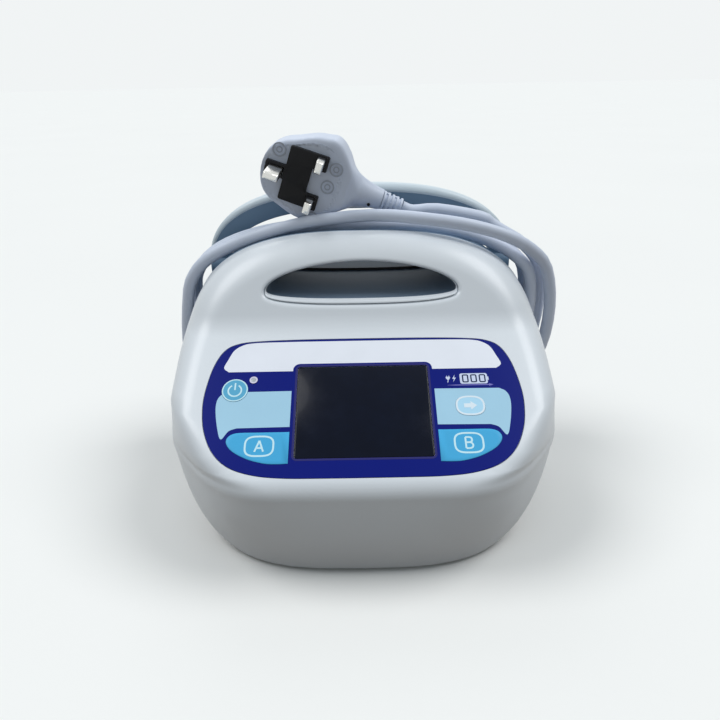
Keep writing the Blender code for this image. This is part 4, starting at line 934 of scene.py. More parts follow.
def sill(name, front, rear):
    """A low step across the floor of the scoop, where its front and rear halves meet."""
    start = profile_depth(OPENING_LOW_Z) + RIM_DEEP + GAP
    rings = []
    for step in range(SILL_STEPS + 1):
        share = SILL_SHARE * (2 * step / SILL_STEPS - 1)
        drop = (1 - abs(share) ** OPENING_DOWN_POWER) ** (1 / OPENING_DOWN_POWER)
        ring = []
        for depth, lift in ((front, -SILL_SINK), (front, SILL_RISE - SILL_ROUND),
                            (front + SILL_ROUND, SILL_RISE), (rear, SILL_RISE), (rear, -SILL_SINK)):
            rise = LINER_RISE / 2 * (depth - start) / (PLATE_BACK - start)
            floor = OPENING_END_Z + rise - (OPENING_END_Z - OPENING_LOW_Z - rise) * drop
            ring.append(Vector((share * OPENING_HALF_WIDTH, back(depth), floor + lift)))
        rings.append(ring)
    return loft(name, rings)


def scoop_ring(margin, share, extra=0.0):
    """A ring of the scoop, part of the way from the rim to the rear plate."""
    front = face_ring(opening(margin), RIM_DEEP + GAP)
    rear = depth_ring(opening(margin, LINER_RISE), PLATE_BACK + extra)
    return [a.lerp(b, share) for a, b in zip(front, rear)]


# The panel: its film, print, window and keys, across and up the slope from its foot

PANEL_HALF_WIDTH = 0.0771
PANEL_HEIGHT = 0.0763
PANEL_SHARES = (
    (0.0, 1.0), (0.40, 0.998), (0.68, 0.989), (0.82, 0.970), (0.908, 0.915), (0.966, 0.786),
    (0.998, 0.590), (0.995, 0.443), (0.965, 0.302), (0.899, 0.168), (0.798, 0.077), (0.652, 0.025),
    (0.473, 0.004), (0.22, 0.0),
)
FILM_THICK = 0.0005
FILM_RECESS = FILM_THICK + GAP
WINDOW_HALF = (0.0320, 0.0247)
WINDOW_MIDDLE = 0.0345
WINDOW_CORNER = 0.0012
POWER_PLACE = (-0.0625, 0.0464)
POWER_R = 0.0064
LIGHT_PLACE = (-0.0538, 0.0521)
LIGHT_R = 0.0015
LIGHT_DEEP = 0.0118
NEXT_PLACE = (0.0512, 0.0357)
NEXT_HALF = (0.00695, 0.00535)
NEXT_ROUNDNESS = 2.6
SIDE_KEY_FOOT = (0.0347, 0.0072)
SIDE_KEY_SIZE = (0.0292, 0.0160)
SIDE_KEY_SHARES = (
    (0.0, 0.0), (0.15, -0.01), (0.32, 0.0), (0.48, 0.06), (0.62, 0.14), (0.75, 0.25), (0.86, 0.37),
    (0.94, 0.50), (0.99, 0.64), (1.0, 0.78), (0.955, 0.91), (0.87, 0.98), (0.75, 1.0), (0.5, 1.0),
    (0.25, 1.0), (0.0, 1.0),
)
KEY_PROUD = 0.0002
KEY_FLANGE = 0.0010
KEY_FLANGE_THICK = 0.0012
FINE_GAP = 0.00008
RING_MIDDLE = (0.0483, 0.0161)
RING_HALF = (0.00655, 0.00495)
RING_ROUNDNESS = 3.2
LETTER_WIDTH = 0.15
LETTER_STROKES = {
    "A": (((-0.36, -0.5), (0.0, 0.5)), ((0.0, 0.5), (0.36, -0.5)),
          ((-0.235, -0.17), (0.235, -0.17))),
    "B": (((-0.27, -0.5), (-0.27, 0.5)),
          ((-0.27, 0.5), (0.02, 0.5), (0.19, 0.45), (0.26, 0.32), (0.25, 0.17), (0.16, 0.07),
           (0.0, 0.03), (-0.27, 0.03)),
          ((-0.27, 0.03), (0.04, 0.03), (0.22, -0.04), (0.31, -0.20), (0.29, -0.35), (0.18, -0.46),
           (0.0, -0.5), (-0.27, -0.5))),
}
POWER_ARC_R = 0.0032
POWER_ARC_START = 30
POWER_ARC_SWEEP = 300
ARROW = (
    (-0.0030, -0.0011), (0.0002, -0.0011), (0.0002, -0.0023), (0.0032, 0.0), (0.0002, 0.0023),
    (0.0002, 0.0011), (-0.0030, 0.0011),
)
PRINT_FOOT = 0.1
HEADER_FOOT = 0.0570
HEADER_NOTCH = (0.0346, 0.0613, 0.0035)
HEADER_SIDE = (
    (0.0668, 0.0572), (0.0686, 0.0585), (0.0692, 0.0602), (0.0678, 0.0640), (0.0651, 0.0701),
    (0.0608, 0.0733), (0.0560, 0.0744), (0.0480, 0.0748), (0.0300, 0.0750),
)
ZONE_SIDE = (
    (0.0348, 0.0259), (0.0597, 0.0256), (0.0633, 0.0241), (0.0665, 0.0200), (0.0688, 0.0260),
    (0.0706, 0.0350), (0.0706, 0.0405), (0.0690, 0.0437), (0.0662, 0.0453), (0.0348, 0.0455),
)
BORDER_MARGINS = (0.0003, 0.0013)
BORDER_CORNER = 0.0020
BATTERY = (0.0480, 0.0611, 0.0482, 0.0537)
BATTERY_CORNER = 0.0008
BATTERY_MARGIN = 0.00025
BATTERY_TIP_HALF = (0.0003, 0.0010)
BATTERY_CELLS = ((0.0492, 0.0517), (0.0533, 0.0558), (0.0575, 0.0601))
BATTERY_CELL_RISE = (0.0490, 0.0530)
BATTERY_CELL_LINE = 0.00066
BOLT = (
    (0.0450, 0.0516), (0.0459, 0.0516), (0.0443, 0.0490), (0.0449, 0.0509), (0.0440, 0.0509),
    (0.0454, 0.0533),
)
MAINS_MARK = (
    (0.0416, 0.0504), (0.0423, 0.0504), (0.0430, 0.0514), (0.0430, 0.0521), (0.0409, 0.0521),
    (0.0409, 0.0514),
)
MAINS_LINES = (
    ((0.0414, 0.0520), (0.0414, 0.0527)), ((0.0425, 0.0520), (0.0425, 0.0527)),
    ((0.04195, 0.0505), (0.0419, 0.0497), (0.0416, 0.0489)),
)
MAINS_LINE = 0.0004
# A faint line with an arrow head beneath the battery sign.
FAINT_ARROW_PLACE = (0.0414, 0.0473)
FAINT_ARROW_LINE = (
    (0.0, -0.00004), (0.004, -0.00024), (0.0203, -0.00024), (0.0203, -0.0007), (0.0225, 0.0),
    (0.0203, 0.0007), (0.0203, 0.00024), (0.004, 0.00024), (0.0, 0.00004),
)


def panel_matrix():
    spot = Matrix.Translation((0, back(PANEL_FOOT_DEPTH), PANEL_FOOT_Z))
    return spot @ Matrix.Rotation(PANEL_SLOPE, 4, "X")


def panel_outline():
    right = [(u * PANEL_HALF_WIDTH, v * PANEL_HEIGHT) for u, v in PANEL_SHARES]
    left = [(-u, v) for u, v in reversed(right[1:])]
    return list(reversed(spline(right + left, 8)))


def window_outline(margin=0.0):
    half_x, half_y = (half + margin for half in WINDOW_HALF)
    return shifted(rounded_box(half_x, half_y, WINDOW_CORNER + margin), 0, WINDOW_MIDDLE)


def side_key_outline(side, margin=0.0):
    """The side key: a smooth sweep with two plain inner corners."""
    shape = [(u * SIDE_KEY_SIZE[0], v * SIDE_KEY_SIZE[1]) for u, v in SIDE_KEY_SHARES]
    shape = shifted(grown(spline(shape, 4, False), margin), *SIDE_KEY_FOOT)
    return shape if side > 0 else [(-u, v) for u, v in reversed(shape)]


def next_outline(margin=0.0, count=72):
    half_x, half_y = (half + margin for half in NEXT_HALF)
    return shifted(egg(half_x, half_y, half_y, NEXT_ROUNDNESS, NEXT_ROUNDNESS, count), *NEXT_PLACE)


def power_outline(margin=0.0):
    return shifted(circle(POWER_R + margin, 72), *POWER_PLACE)


def light_outline(margin=0.0):
    return shifted(circle(LIGHT_R + margin, 40), *LIGHT_PLACE)


def panel_holes(margin):
    return (("window", window_outline(margin)), ("key_a", side_key_outline(-1, margin)),
            ("key_b", side_key_outline(1, margin)), ("key_next", next_outline(margin)),
            ("key_power", power_outline(margin)), ("light", light_outline(margin)))


def on_panel(mesh):
    mesh.transform(panel_matrix())
    return mesh


def inked(name, finish, meshes, body="housing"):
    """Several flat marks as one printed piece on the panel's slope."""
    return keep(name, on_panel(joined(name, meshes)), body, finish)


def stroke(points, width, closed=False):
    """Left and right edges of a line of one width through the points."""
    left, right = [], []
    count = len(points)
    for here, point in enumerate(points):
        before = points[(here - 1) % count] if closed or here else point
        after = points[(here + 1) % count] if closed or here + 1 < count else point
        way = Vector((after[0] - before[0], after[1] - before[1])).normalized() * width / 2
        left.append((point[0] - way.y, point[1] + way.x))
        right.append((point[0] + way.y, point[1] - way.x))
    return left, right


def line_mesh(name, points, width, low, high, closed=False):
    """A drawn line as a thin raised strip."""
    left, right = stroke(points, width, closed)
    bm = bmesh.new()
    rows = [[bm.verts.new((x, y, z)) for x, y in side] for side, z in
            ((left, low), (left, high), (right, high), (right, low))]
    count = len(points)
    for row, nxt in zip(rows, rows[1:] + rows[:1]):
        for here in range(count if closed else count - 1):
            after = (here + 1) % count
            bm.faces.new((row[here], row[after], nxt[after], nxt[here]))
    if not closed:
        bm.faces.new([row[0] for row in rows])
        bm.faces.new([row[-1] for row in reversed(rows)])
    return to_mesh(name, bm)


def joined(name, meshes):
    """Several meshes as one."""
    bm = bmesh.new()
    for mesh in meshes:
        bm.from_mesh(mesh)
    result = bpy.data.meshes.new(name)
    bm.to_mesh(result)
    bm.free()
    return result


def header_outline():
    """The header: a notch round the display window, and sides that close in upwards."""
    half, foot, corner = HEADER_NOTCH
    notch = [(half - corner + corner * cosine, foot - corner + corner * sine)
             for sine, cosine in quarter_turn(8)]
    side = spline([(HEADER_SIDE[0][0], HEADER_FOOT)] + list(HEADER_SIDE), 6, False)
    right = [(0.0, foot)] + notch[::-1] + [(half, HEADER_FOOT)] + side
    right = [spot for spot in right if spot[1] >= HEADER_FOOT]
    return right + [(-x, y) for x, y in reversed(right) if x > 0]


def zone_outline(side):
    rounded = [ZONE_SIDE[0]] + spline(ZONE_SIDE[1:-1], 6, False) + [ZONE_SIDE[-1]]
    return rounded if side > 0 else [(-x, y) for x, y in reversed(rounded)]


def print_marks(low, high):
    """The signs beside the display: a battery, a flash, a mains plug and a faint line with an arrow
    head.
    """
    left, right, foot, top = BATTERY
    middle = (foot + top) / 2
    case = rounded_box((right - left) / 2, (top - foot) / 2, BATTERY_CORNER, 4)
    case = grown(shifted(case, (left + right) / 2, middle), BATTERY_MARGIN)
    tip = shifted(rounded_box(*BATTERY_TIP_HALF, 0.00015, 2), right + 0.0005, middle)
    foot, top = BATTERY_CELL_RISE
    cells = []
    for left, right in BATTERY_CELLS:
        cell = rounded_box((right - left) / 2, (top - foot) / 2, 0.0005, 4)
        cell = shifted(cell, (left + right) / 2, (foot + top) / 2)
        cells.append(line_mesh("cell", cell, BATTERY_CELL_LINE, high * 1.1, high * 1.8, True))
    inked("print_battery_cells", "window_ink", cells)
    inked("print_battery", "symbol",
          [prism("mark", shape, low, high) for shape in (case, tip, BOLT)])
    lines = [line_mesh("line", line, MAINS_LINE, low, high) for line in MAINS_LINES]
    inked("print_mains_mark", "symbol", [prism("mark", MAINS_MARK, low, high)] + lines)
    inked("faint_arrow_line", "faint",
          [prism("line", shifted(FAINT_ARROW_LINE, *FAINT_ARROW_PLACE), low, high)])


def build_film(sizes):
    """The dark blue film, with its edge eased, and the print on it."""
    rings = [flat_ring(panel_outline(), -FILM_THICK), flat_ring(panel_outline(), -0.00008),
             flat_ring(grown(panel_outline(), -0.00012), 0)]
    holes = [hole for hole in panel_holes(GAP) if not hole[0].startswith("key")]
    holes += [hole for hole in panel_holes(FINE_GAP) if hole[0].startswith("key")]
    mesh = shaped(loft("film", rings),
                  [prism(name, outline, -OVERRUN, OVERRUN) for name, outline in holes])
    film = keep("panel_film", on_panel(mesh), "housing", "film", "panel_overlay")
    low, high = sizes.print_lift * PRINT_FOOT, sizes.print_lift
    inked("print_header", "header", [prism("header", header_outline(), low, high)])
    for name, side, hole in (("print_zone_left", -1, power_outline(FINE_GAP)),
                             ("print_zone_right", 1, next_outline(FINE_GAP))):
        zone = shaped(prism(name, zone_outline(side), low, high),
                      [prism("hole", hole, -OVERRUN, OVERRUN)])
        inked(name, "zone", [zone])
    near, far = BORDER_MARGINS
    half_x, half_y = (half + (near + far) / 2 for half in WINDOW_HALF)
    middle = shifted(rounded_box(half_x, half_y, BORDER_CORNER), 0, WINDOW_MIDDLE)
    inked("print_display_border", "border",
          [line_mesh("border", middle, far - near, low, high, True)])
    print_marks(low, high)
    return film


def build_window():
    """The smoked display window with an eased edge, and the light guide."""
    rings = [flat_ring(window_outline(margin), z)
             for z, margin in ((-WALL, 0.0), (-0.0005, 0.0), (-0.00028, -0.0001),
                               (-0.0002, -0.0003))]
    keep("display_glass", on_panel(loft("glass", rings)), "housing", "window", "display_window")
    rings = [flat_ring(light_outline(margin), z)
             for z, margin in ((-LIGHT_DEEP, 0.0), (-0.0001, 0.0), (0.0001, -0.0002),
                               (0.0002, -0.0006))]
    keep("light_guide", on_panel(loft("guide", rings)), "housing", "clear", "status_light")
    ring = shifted(circle(LIGHT_R + 0.0001, 48), *LIGHT_PLACE)
    inked("print_light_ring", "light_ring",
          [line_mesh("ring", ring, 0.00075, 0.00021, 0.00028, True)])


def key_cap(key, cap, flange, finish):
    """A key with a rounded top edge, and a flange under the wall."""
    top = -WALL - GAP
    rings = [flat_ring(flange, top - KEY_FLANGE_THICK), flat_ring(flange, top)]
    for height, inset in ((top, 0.0), (KEY_PROUD - 0.0002, 0.0), (KEY_PROUD - 0.00008, 0.00006),
                          (KEY_PROUD, 0.0002)):
        rings.append(flat_ring(grown(cap, -inset), height))
    middle = Vector((sum(u for u, v in cap) / len(cap), sum(v for u, v in cap) / len(cap)))
    for share in (0.8, 0.5, 0.2):
        rings.append([Vector((*middle.lerp(Vector(spot), share), KEY_PROUD)) for spot in cap])
    keep(key + "_cap", on_panel(loft(key, rings)), key, finish, key, smooth=50.0)


def build_keys(sizes):
    """The four keys with their rings, letters, arrow and power sign."""
    low, high = KEY_PROUD, KEY_PROUD + sizes.print_lift
    width = sizes.stroke
    key_cap("key_power", power_outline(), power_outline(KEY_FLANGE), "power")
    key_cap("key_next", next_outline(), next_outline(KEY_FLANGE), "next")
    key_cap("key_a", side_key_outline(-1), side_key_outline(-1, KEY_FLANGE), "key")
    key_cap("key_b", side_key_outline(1), side_key_outline(1, KEY_FLANGE), "key")
    x, y = POWER_PLACE
    turns = [math.radians(POWER_ARC_START + POWER_ARC_SWEEP * k / 40) for k in range(41)]
    arc = [(x + POWER_ARC_R * math.sin(a), y - 0.0002 + POWER_ARC_R * math.cos(a)) for a in turns]
    bar = [(x, y + 0.0001), (x, y + 0.0041)]
    ring = shifted(circle(POWER_R - 0.0004, 72), x, y)
    inked("key_power_sign", "pale", [line_mesh("ring", ring, 0.0006, low, high, True),
                                     line_mesh("arc", arc, width, low, high),
                                     line_mesh("bar", bar, width, low, high)], "key_power")
    inked("key_next_sign", "pale_next",
          [line_mesh("ring", next_outline(-0.00045, 96), 0.0009, low, high, True),
           prism("arrow", shifted(ARROW, *NEXT_PLACE), low, high)], "key_next")
    for letter, side, key in (("A", -1, "key_a"), ("B", 1, "key_b")):
        x, y = RING_MIDDLE[0] * side, RING_MIDDLE[1]
        ring = shifted(egg(*RING_HALF, RING_HALF[1], RING_ROUNDNESS, RING_ROUNDNESS, 96), x, y)
        marks = [line_mesh("ring", ring, 0.00088, low, high, True)]
        inked(key + "_sign", "pale", marks + letter_strokes(letter, x, y, sizes.letter, low, high),
              key)


def letter_strokes(letter, x, y, height, low, high):
    """A plain letter's strokes. Each lies a hair above the one before."""
    strokes = []
    for number, line in enumerate(LETTER_STROKES[letter]):
        spots = [(x + u * height, y + v * height) for u, v in line]
        if len(spots) > 2:
            spots = spline(spots, 6, False)
        strokes.append(line_mesh("stroke", spots, height * LETTER_WIDTH, low,
                                 high + number * 0.000004))
    return strokes


# Rear shell, ports, screws and feet

CORD_PITCH = 0.0078
DRUM_RIM = 0.0018
DRUM_HALF_WIDTH = 0.0905
DRUM_TOP = 0.1389
DRUM_BOTTOM = 0.041
DRUM_WIDEST_Z = 0.092
DRUM_LOWER_ROUNDNESS = 3.1
DRUM_SIDE_GAP = 0.0007
RIM_FRONT = PARTING_DEPTH + GAP
DRUM_FRONT = RIM_FRONT + DRUM_RIM
DRUM_BACK = PLATE_BACK - 0.005
PLATE_EASE = 0.00125
PLATE_INSET = 0.0015
PLATE_FOOT = 0.004
SCREW_PLACES = ((0.060, 0.046), (0.064, 0.100))
SCREW_HEAD_R = 0.0032
SCREW_SINK = 0.0030
PORT_X = 0.018
PORT_Z = 0.0565
PORT_STEM_R = 0.0045
BOSS_LENGTH = 0.020
BOSS_HALF = 0.0052
BOSS_EASE = 0.0006
VENT_ROWS = 6
VENT_HALF = (0.0105, 0.0008)
VENT_CORNER = 0.00075
VENT_DEEP = 0.0022
VENT_MIDDLE_Z = 0.0900
VENT_STEP = 0.0036
VENT_PITCH = 0.026
COVER_HALF = (0.046, 0.0135)
COVER_CORNER = 0.005
COVER_MIDDLE_Z = 0.0285
GROOVE = 0.0007
GROOVE_DEEP = 0.0011
GRIP_HALF = (0.010, 0.0022)
GRIP_CORNER = 0.0021
GRIP_RISE = 0.0075
GRIP_DEEP = 0.0012
GRIP_FLARE = 0.0010
SHELL_EDGE = 0.0004
DRUM_FILLET = ((0.0010, 0.0), (0.0003, 0.0003), (0.0, 0.0010))
SCREW_CHAMFER = 0.0006
SCREW_PROFILE = ((0.0, 1.0), (0.0012, 1.0), (0.0018, 0.92), (0.0022, 0.66), (0.0023, 0.25))
CROSS_ARM = (0.0019, 0.00042)
CROSS_FLOOR = 0.0010
PORT_ROOT = 0.1333
PORT_EASE = 0.0005
PORT_PROFILE = (
    (0.0, 0.0078), (0.0025, 0.0078), (0.0025, 0.0062), (0.0052, 0.0062), (0.0055, 0.0057),
    (0.0065, 0.0057), (0.0068, 0.0062), (0.0100, 0.0062), (0.0100, 0.0040), (0.0010, 0.0040),
)
FOOT_R = 0.007
FOOT_X = 0.034
FOOT_DEPTHS = (0.030, 0.103)


def drum_outline(margin, facets):
    up, down = DRUM_TOP - DRUM_WIDEST_Z, DRUM_WIDEST_Z - DRUM_BOTTOM
    shape = egg(DRUM_HALF_WIDTH, up, down, UPPER_ROUNDNESS, DRUM_LOWER_ROUNDNESS, facets)
    return shifted(grown(shape, margin), 0, DRUM_WIDEST_Z)


def rear_body(count):
    """The drum's front rim, the drum and the rear plate, before anything is cut from them."""
    rim = housing_outline(-DRAFT, 0, count)
    plate = housing_outline(PLATE_INSET, PLATE_FOOT, count)
    drum = drum_outline(0, count)
    hollow = drum_outline(-WALL, count)
    stack = [(hollow, DRUM_BACK), (hollow, RIM_FRONT), (grown(rim, -SHELL_EDGE), RIM_FRONT),
             (rim, RIM_FRONT + SHELL_EDGE), (rim, DRUM_FRONT - SHELL_EDGE),
             (grown(rim, -SHELL_EDGE), DRUM_FRONT)]
    stack += [(grown(drum, out), DRUM_FRONT + along) for out, along in DRUM_FILLET]
    stack += [(grown(drum, out), DRUM_BACK - along) for out, along in reversed(DRUM_FILLET)]
    stack += [(grown(plate, -SHELL_EDGE), DRUM_BACK), (plate, DRUM_BACK + SHELL_EDGE)]
    stack += [(grown(plate, -PLATE_EASE * (1 - cosine)), PLATE_BACK - PLATE_EASE * (1 - sine))
              for sine, cosine in quarter_turn(4)]
    return loft("rear", [depth_ring(outline, depth) for outline, depth in stack])


def rear_cuts():
    """The handle opening, screw pockets, port holes, slots, the cover's groove and its grip."""
    out = PLATE_BACK + OVERRUN
    wide = opening(LINER_WALL + GAP, LINER_RISE)
    rings = [face_ring(opening(LINER_WALL + GAP), RIM_DEEP), depth_ring(wide, PLATE_BACK),
             depth_ring(wide, out)]
    cuts = [loft("hole", rings)]
    radius = SCREW_HEAD_R + GAP
    pocket = [(back(PLATE_BACK - SCREW_SINK), radius), (back(PLATE_BACK - 0.0005), radius),
              (back(PLATE_BACK + 0.0001), radius + SCREW_CHAMFER),
              (back(out), radius + SCREW_CHAMFER)]
    for x, z in SCREW_PLACES:
        cuts += [turned("bore", pocket, 40, "Y", (side * x, 0, z)) for side in (-1, 1)]
    stem = [(back(DRUM_BACK - OVERRUN), PORT_STEM_R + GAP), (back(out), PORT_STEM_R + GAP)]
    cuts += [turned("bore", stem, 40, "Y", (side * PORT_X, 0, PORT_Z)) for side in (-1, 1)]
    for row in range(VENT_ROWS):
        rise = VENT_MIDDLE_Z - (row - (VENT_ROWS - 1) / 2) * VENT_STEP
        for side in (-1, 0, 1):
            slot = shifted(rounded_box(*VENT_HALF, VENT_CORNER, 4), side * VENT_PITCH, rise)
            cuts.append(loft("slot",
                             [depth_ring(slot, PLATE_BACK - VENT_DEEP), depth_ring(slot, out)]))
    cover = shifted(rounded_box(*COVER_HALF, COVER_CORNER), 0, COVER_MIDDLE_Z)
    inner = grown(cover, -GROOVE)
    floor = PLATE_BACK - GROOVE_DEEP
    rings = [depth_ring(inner, floor), depth_ring(cover, floor), depth_ring(cover, out),
             depth_ring(inner, out)]
    cuts.append(loft("groove", rings, closed=True))
    grip = shifted(rounded_box(*GRIP_HALF, GRIP_CORNER), 0, COVER_MIDDLE_Z + GRIP_RISE)
    flared = grown(grip, GRIP_FLARE)
    rings = [depth_ring(grip, PLATE_BACK - GRIP_DEEP), depth_ring(flared, PLATE_BACK + 0.0002),
             depth_ring(flared, out)]
    return cuts + [loft("grip", rings)]


def build_rear_shell(sizes):
    """The rear shell, and the boss in it that holds the cord's gland."""
    mesh = shaped(rear_body(sizes.facets), rear_cuts())
    root = gland_root()
    boss = block("boss", (root.x - GAP - BOSS_LENGTH, root.y - BOSS_HALF, root.z - BOSS_HALF),
                 (root.x - GAP, back(DRUM_BACK + WALL / 2), DRUM_BOTTOM + WALL / 2))
    boss = keep("cord_boss", shaped(boss, [gland_bore()]), "housing", "slate")
    ease_edges(boss, BOSS_EASE)
    return keep("rear_shell_moulding", mesh, "housing", "slate", "rear_shell", smooth=34.0)


def build_ports():
    """Two air ports, each with a round flange, a collar with a groove, and an open bore."""
    outer = PLATE_BACK + GAP
    stem = [(back(PORT_ROOT), PORT_STEM_R), (back(outer), PORT_STEM_R)]
    profile = stem + [(back(outer + along), radius) for along, radius in PORT_PROFILE]
    for name, side in (("left", -1), ("right", 1)):
        mesh = turned("port", eased(profile, PORT_EASE), 64, "Y", (side * PORT_X, 0, PORT_Z))
        keep("air_port_" + name, mesh, "housing", "port", "port_" + name, smooth=40.0)


def build_screws():
    """Case screws with a cross recess."""
    low = back(PLATE_BACK - SCREW_SINK + GAP)
    profile = [(low + along, SCREW_HEAD_R * share) for along, share in SCREW_PROFILE]
    for row, (x, z) in zip(("low", "high"), SCREW_PLACES):
        for column, side in (("left", -1), ("right", 1)):
            head = turned("head", profile, 48, "Y", (side * x, 0, z))
            arms = [block("arm", (side * x - half_x, low + CROSS_FLOOR, z - half_z),
                          (side * x + half_x, low + OVERRUN, z + half_z))
                    for half_x, half_z in (CROSS_ARM, CROSS_ARM[::-1])]
            name = "screw_" + row + "_" + column
            keep(name, shaped(head, arms), "housing", "steel", "case_" + name, smooth=40.0)


def build_feet():
    """Rubber feet with a round edge and a shallow cup below."""
    top = BASE_Z - GAP
    spots = [(0.0006, 0.0018), (0.0004, 0.0044), (0.0, 0.0050), (0.0, FOOT_R - 0.0005),
             (0.0002, FOOT_R - 0.0001), (0.0006, FOOT_R), (top - 0.0003, FOOT_R),
             (top, FOOT_R - 0.0003)]
    for row, depth in zip(("front", "rear"), FOOT_DEPTHS):
        for column, side in (("left", -1), ("right", 1)):
            mesh = turned("foot", spots, 56, "Z", (side * FOOT_X, back(depth), 0))
            name = "foot_" + row + "_" + column
            keep("rubber_" + name, mesh, "housing", "rubber", name, smooth=50.0)


# The bed hook

HOOK_HALF_WIDTH = 0.0935
HOOK_RISE = 0.0495
HOOK_BAND = 0.0145
HOOK_BAND_END = 0.0125
HOOK_POWER = 2.5
HOOK_DEPTH = 0.010
HOOK_PIVOT_Z = 0.114
HOOK_EAR_R = 0.0075
HOOK_PIVOT_DEPTH = PLATE_BACK + 0.0008 + HOOK_EAR_R
HOOK_STEPS = 128
HOOK_SOFT = 0.0008
HOOK_END_SLOPE = 0.0010
HOOK_CROWN_POWER = 0.8
HOOK_SLOPE_DEEP = 0.9
EAR_EASE = 0.0007
EAR_INNER_X = 0.0800
EAR_OUTER_X = 0.0928
PIN_R = 0.003


def hook_ring(angle, spots):
    """One section of the arch, from (inset, depth) spots. The band narrows to its ends."""
    flat, high = powered(math.cos(angle), HOOK_POWER), powered(math.sin(angle), HOOK_POWER)
    front = HOOK_PIVOT_DEPTH - HOOK_DEPTH / 2
    narrower = HOOK_BAND_END / HOOK_BAND
    return [Vector(((HOOK_HALF_WIDTH - inset * narrower) * flat, back(front + deep),
                    HOOK_PIVOT_Z + (HOOK_RISE - inset) * high)) for inset, deep in spots]


def hook_face(slope):
    """Section of the arch's dark body, behind the sloping edge."""
    third = HOOK_SOFT / 3
    return [(slope + 0.0003, 0.0004), (HOOK_BAND - HOOK_SOFT, 0.0004),
            (HOOK_BAND - third, third + 0.0002), (HOOK_BAND, HOOK_SOFT + 0.0002),
            (HOOK_BAND, HOOK_DEPTH - HOOK_SOFT), (HOOK_BAND - third, HOOK_DEPTH - third),
            (HOOK_BAND - HOOK_SOFT, HOOK_DEPTH), (0.0030, HOOK_DEPTH),
            (0.0009, HOOK_DEPTH - 0.0009), (0.0003, HOOK_DEPTH - 0.0030), (0.0003, 0.0050),
            (slope + 0.0003, 0.0012)]


def hook_edge(slope):
    """Section of the edge painted paler, a painted highlight of light from above, a rounded slope
    along the crown.
    """
    deep = slope * HOOK_SLOPE_DEEP
    spots = [(slope * (1 - sine), deep * (1 - cosine)) for sine, cosine in quarter_turn(6)]
    return spots + [(0.0, HOOK_DEPTH - 0.0030), (0.0002, HOOK_DEPTH - 0.0024),
                    (0.0007, HOOK_DEPTH - 0.0030), (slope + 0.0006, deep + 0.0008),
                    (slope + 0.0006, 0.0003)]


def build_hook(sizes):
    """The arch over the drum: a dark face, an edge along its crown painted paler as a painted
    highlight, and two round ears.
    """
    face, edge = [], []
    for step in range(HOOK_STEPS + 1):
        angle = math.pi * step / HOOK_STEPS
        crown = math.sin(angle) ** HOOK_CROWN_POWER
        slope = HOOK_END_SLOPE + (sizes.hook_chamfer - HOOK_END_SLOPE) * crown
        face.append(hook_ring(angle, hook_face(slope)))
        edge.append(hook_ring(angle, hook_edge(slope)))
    keep("bed_hook_arch", loft("arch", face), "hook", "slate", "bed_hook", smooth=40.0)
    # The edge piece takes the paler slate, a painted highlight along the crown.
    keep("bed_hook_highlight_edge", loft("edge", edge), "hook", "slate_painted_highlight", smooth=50.0)
    middle = (0, back(HOOK_PIVOT_DEPTH), HOOK_PIVOT_Z)
    for name, side in (("left", -1), ("right", 1)):
        low, high = sorted((side * EAR_INNER_X, side * EAR_OUTER_X))
        profile = [(low, PIN_R + GAP), (low, HOOK_EAR_R), (high, HOOK_EAR_R), (high, PIN_R + GAP)]
        ear = turned("ear", eased(profile, EAR_EASE), 64, "X", middle, closed=True)
        keep("bed_hook_ear_" + name, ear, "hook", "slate", smooth=50.0)
    for name in ("left", "right"):
        refinish("hook_bracket_" + name, "slate", 0.0007)
        refinish("hook_pin_" + name, "steel", 0.0004)


def refinish(node, finish, ease=0.0):
    """A CAD node kept as it is, with its own finish and its edges rounded."""
    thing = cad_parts[node]
    for place in thing.material_slots:
        place.material = finishes[finish]
    if not thing.material_slots:
        thing.data.materials.append(finishes[finish])
    if ease:
        ease_edges(thing, ease, 40.0)


INSIDE_FINISHES = {
    "display_board": ("board", 0.0002), "lcd_module": ("steel", 0.0004),
    "switch_power": ("black", 0.0003), "switch_next": ("black", 0.0003),
    "switch_a": ("black", 0.0003), "switch_b": ("black", 0.0003),
    "valve_manifold": ("clear", 0.0006), "valve_left": ("steel", 0.0004),
    "valve_middle": ("steel", 0.0004), "valve_right": ("steel", 0.0004),
    "chassis_tray": ("tray", 0.0004), "mount_front_left": ("rubber", 0.0006),
    "mount_front_right": ("rubber", 0.0006), "mount_rear_left": ("rubber", 0.0006),
    "mount_rear_right": ("rubber", 0.0006), "compressor": ("steel", 0.0),
    "compressor_head": ("black", 0.0010), "air_tube": ("clear", 0.0),
    "battery_pack": ("cells", 0.0), "power_supply": ("black", 0.0), "main_board": ("board", 0.0002),
    "buzzer": ("black", 0.0005),
}


# The mains cord: the winding on the drum and the tail to the plug

CORD_R = 0.0035
STRAND_LIFT = 0.0046
WINDING_HALF_WIDTH = 0.1005
WINDING_WIDEST_Z = 0.103
WINDING_UP_POWER = 2.45
WINDING_DOWN_POWER = 3.0
WINDING_POINTS = 24
WINDING_START = 0.035
WINDING_END = 3.40
LAYER_STEP = 0.0076
BULGE = 0.006
BULGE_TURN = 2.20
BULGE_SPREAD = 0.09
LEAN_OUT = 0.010
PLACE_SHARES = ((0.74, 1.10, -2), (1.30, 1.46, 1), (1.95, 2.12, -1), (2.92, 3.10, 1))
LEAN_SHARES = ((2.25, 2.40, 1), (2.44, 2.50, -1))
LAYER_SHARES = ((1.70, 1.80, 1), (2.47, 2.62, -1), (2.72, 2.86, 2.1), (3.12, 3.22, -1.1))
GLAND_LENGTH = 0.024
GLAND_R = 0.0042
GLAND_TIP_R = 0.0038
GLAND_RIBS = 6
GLAND_PLAIN_SHARE = 0.34
GLAND_RIBBED_SHARE = 0.62
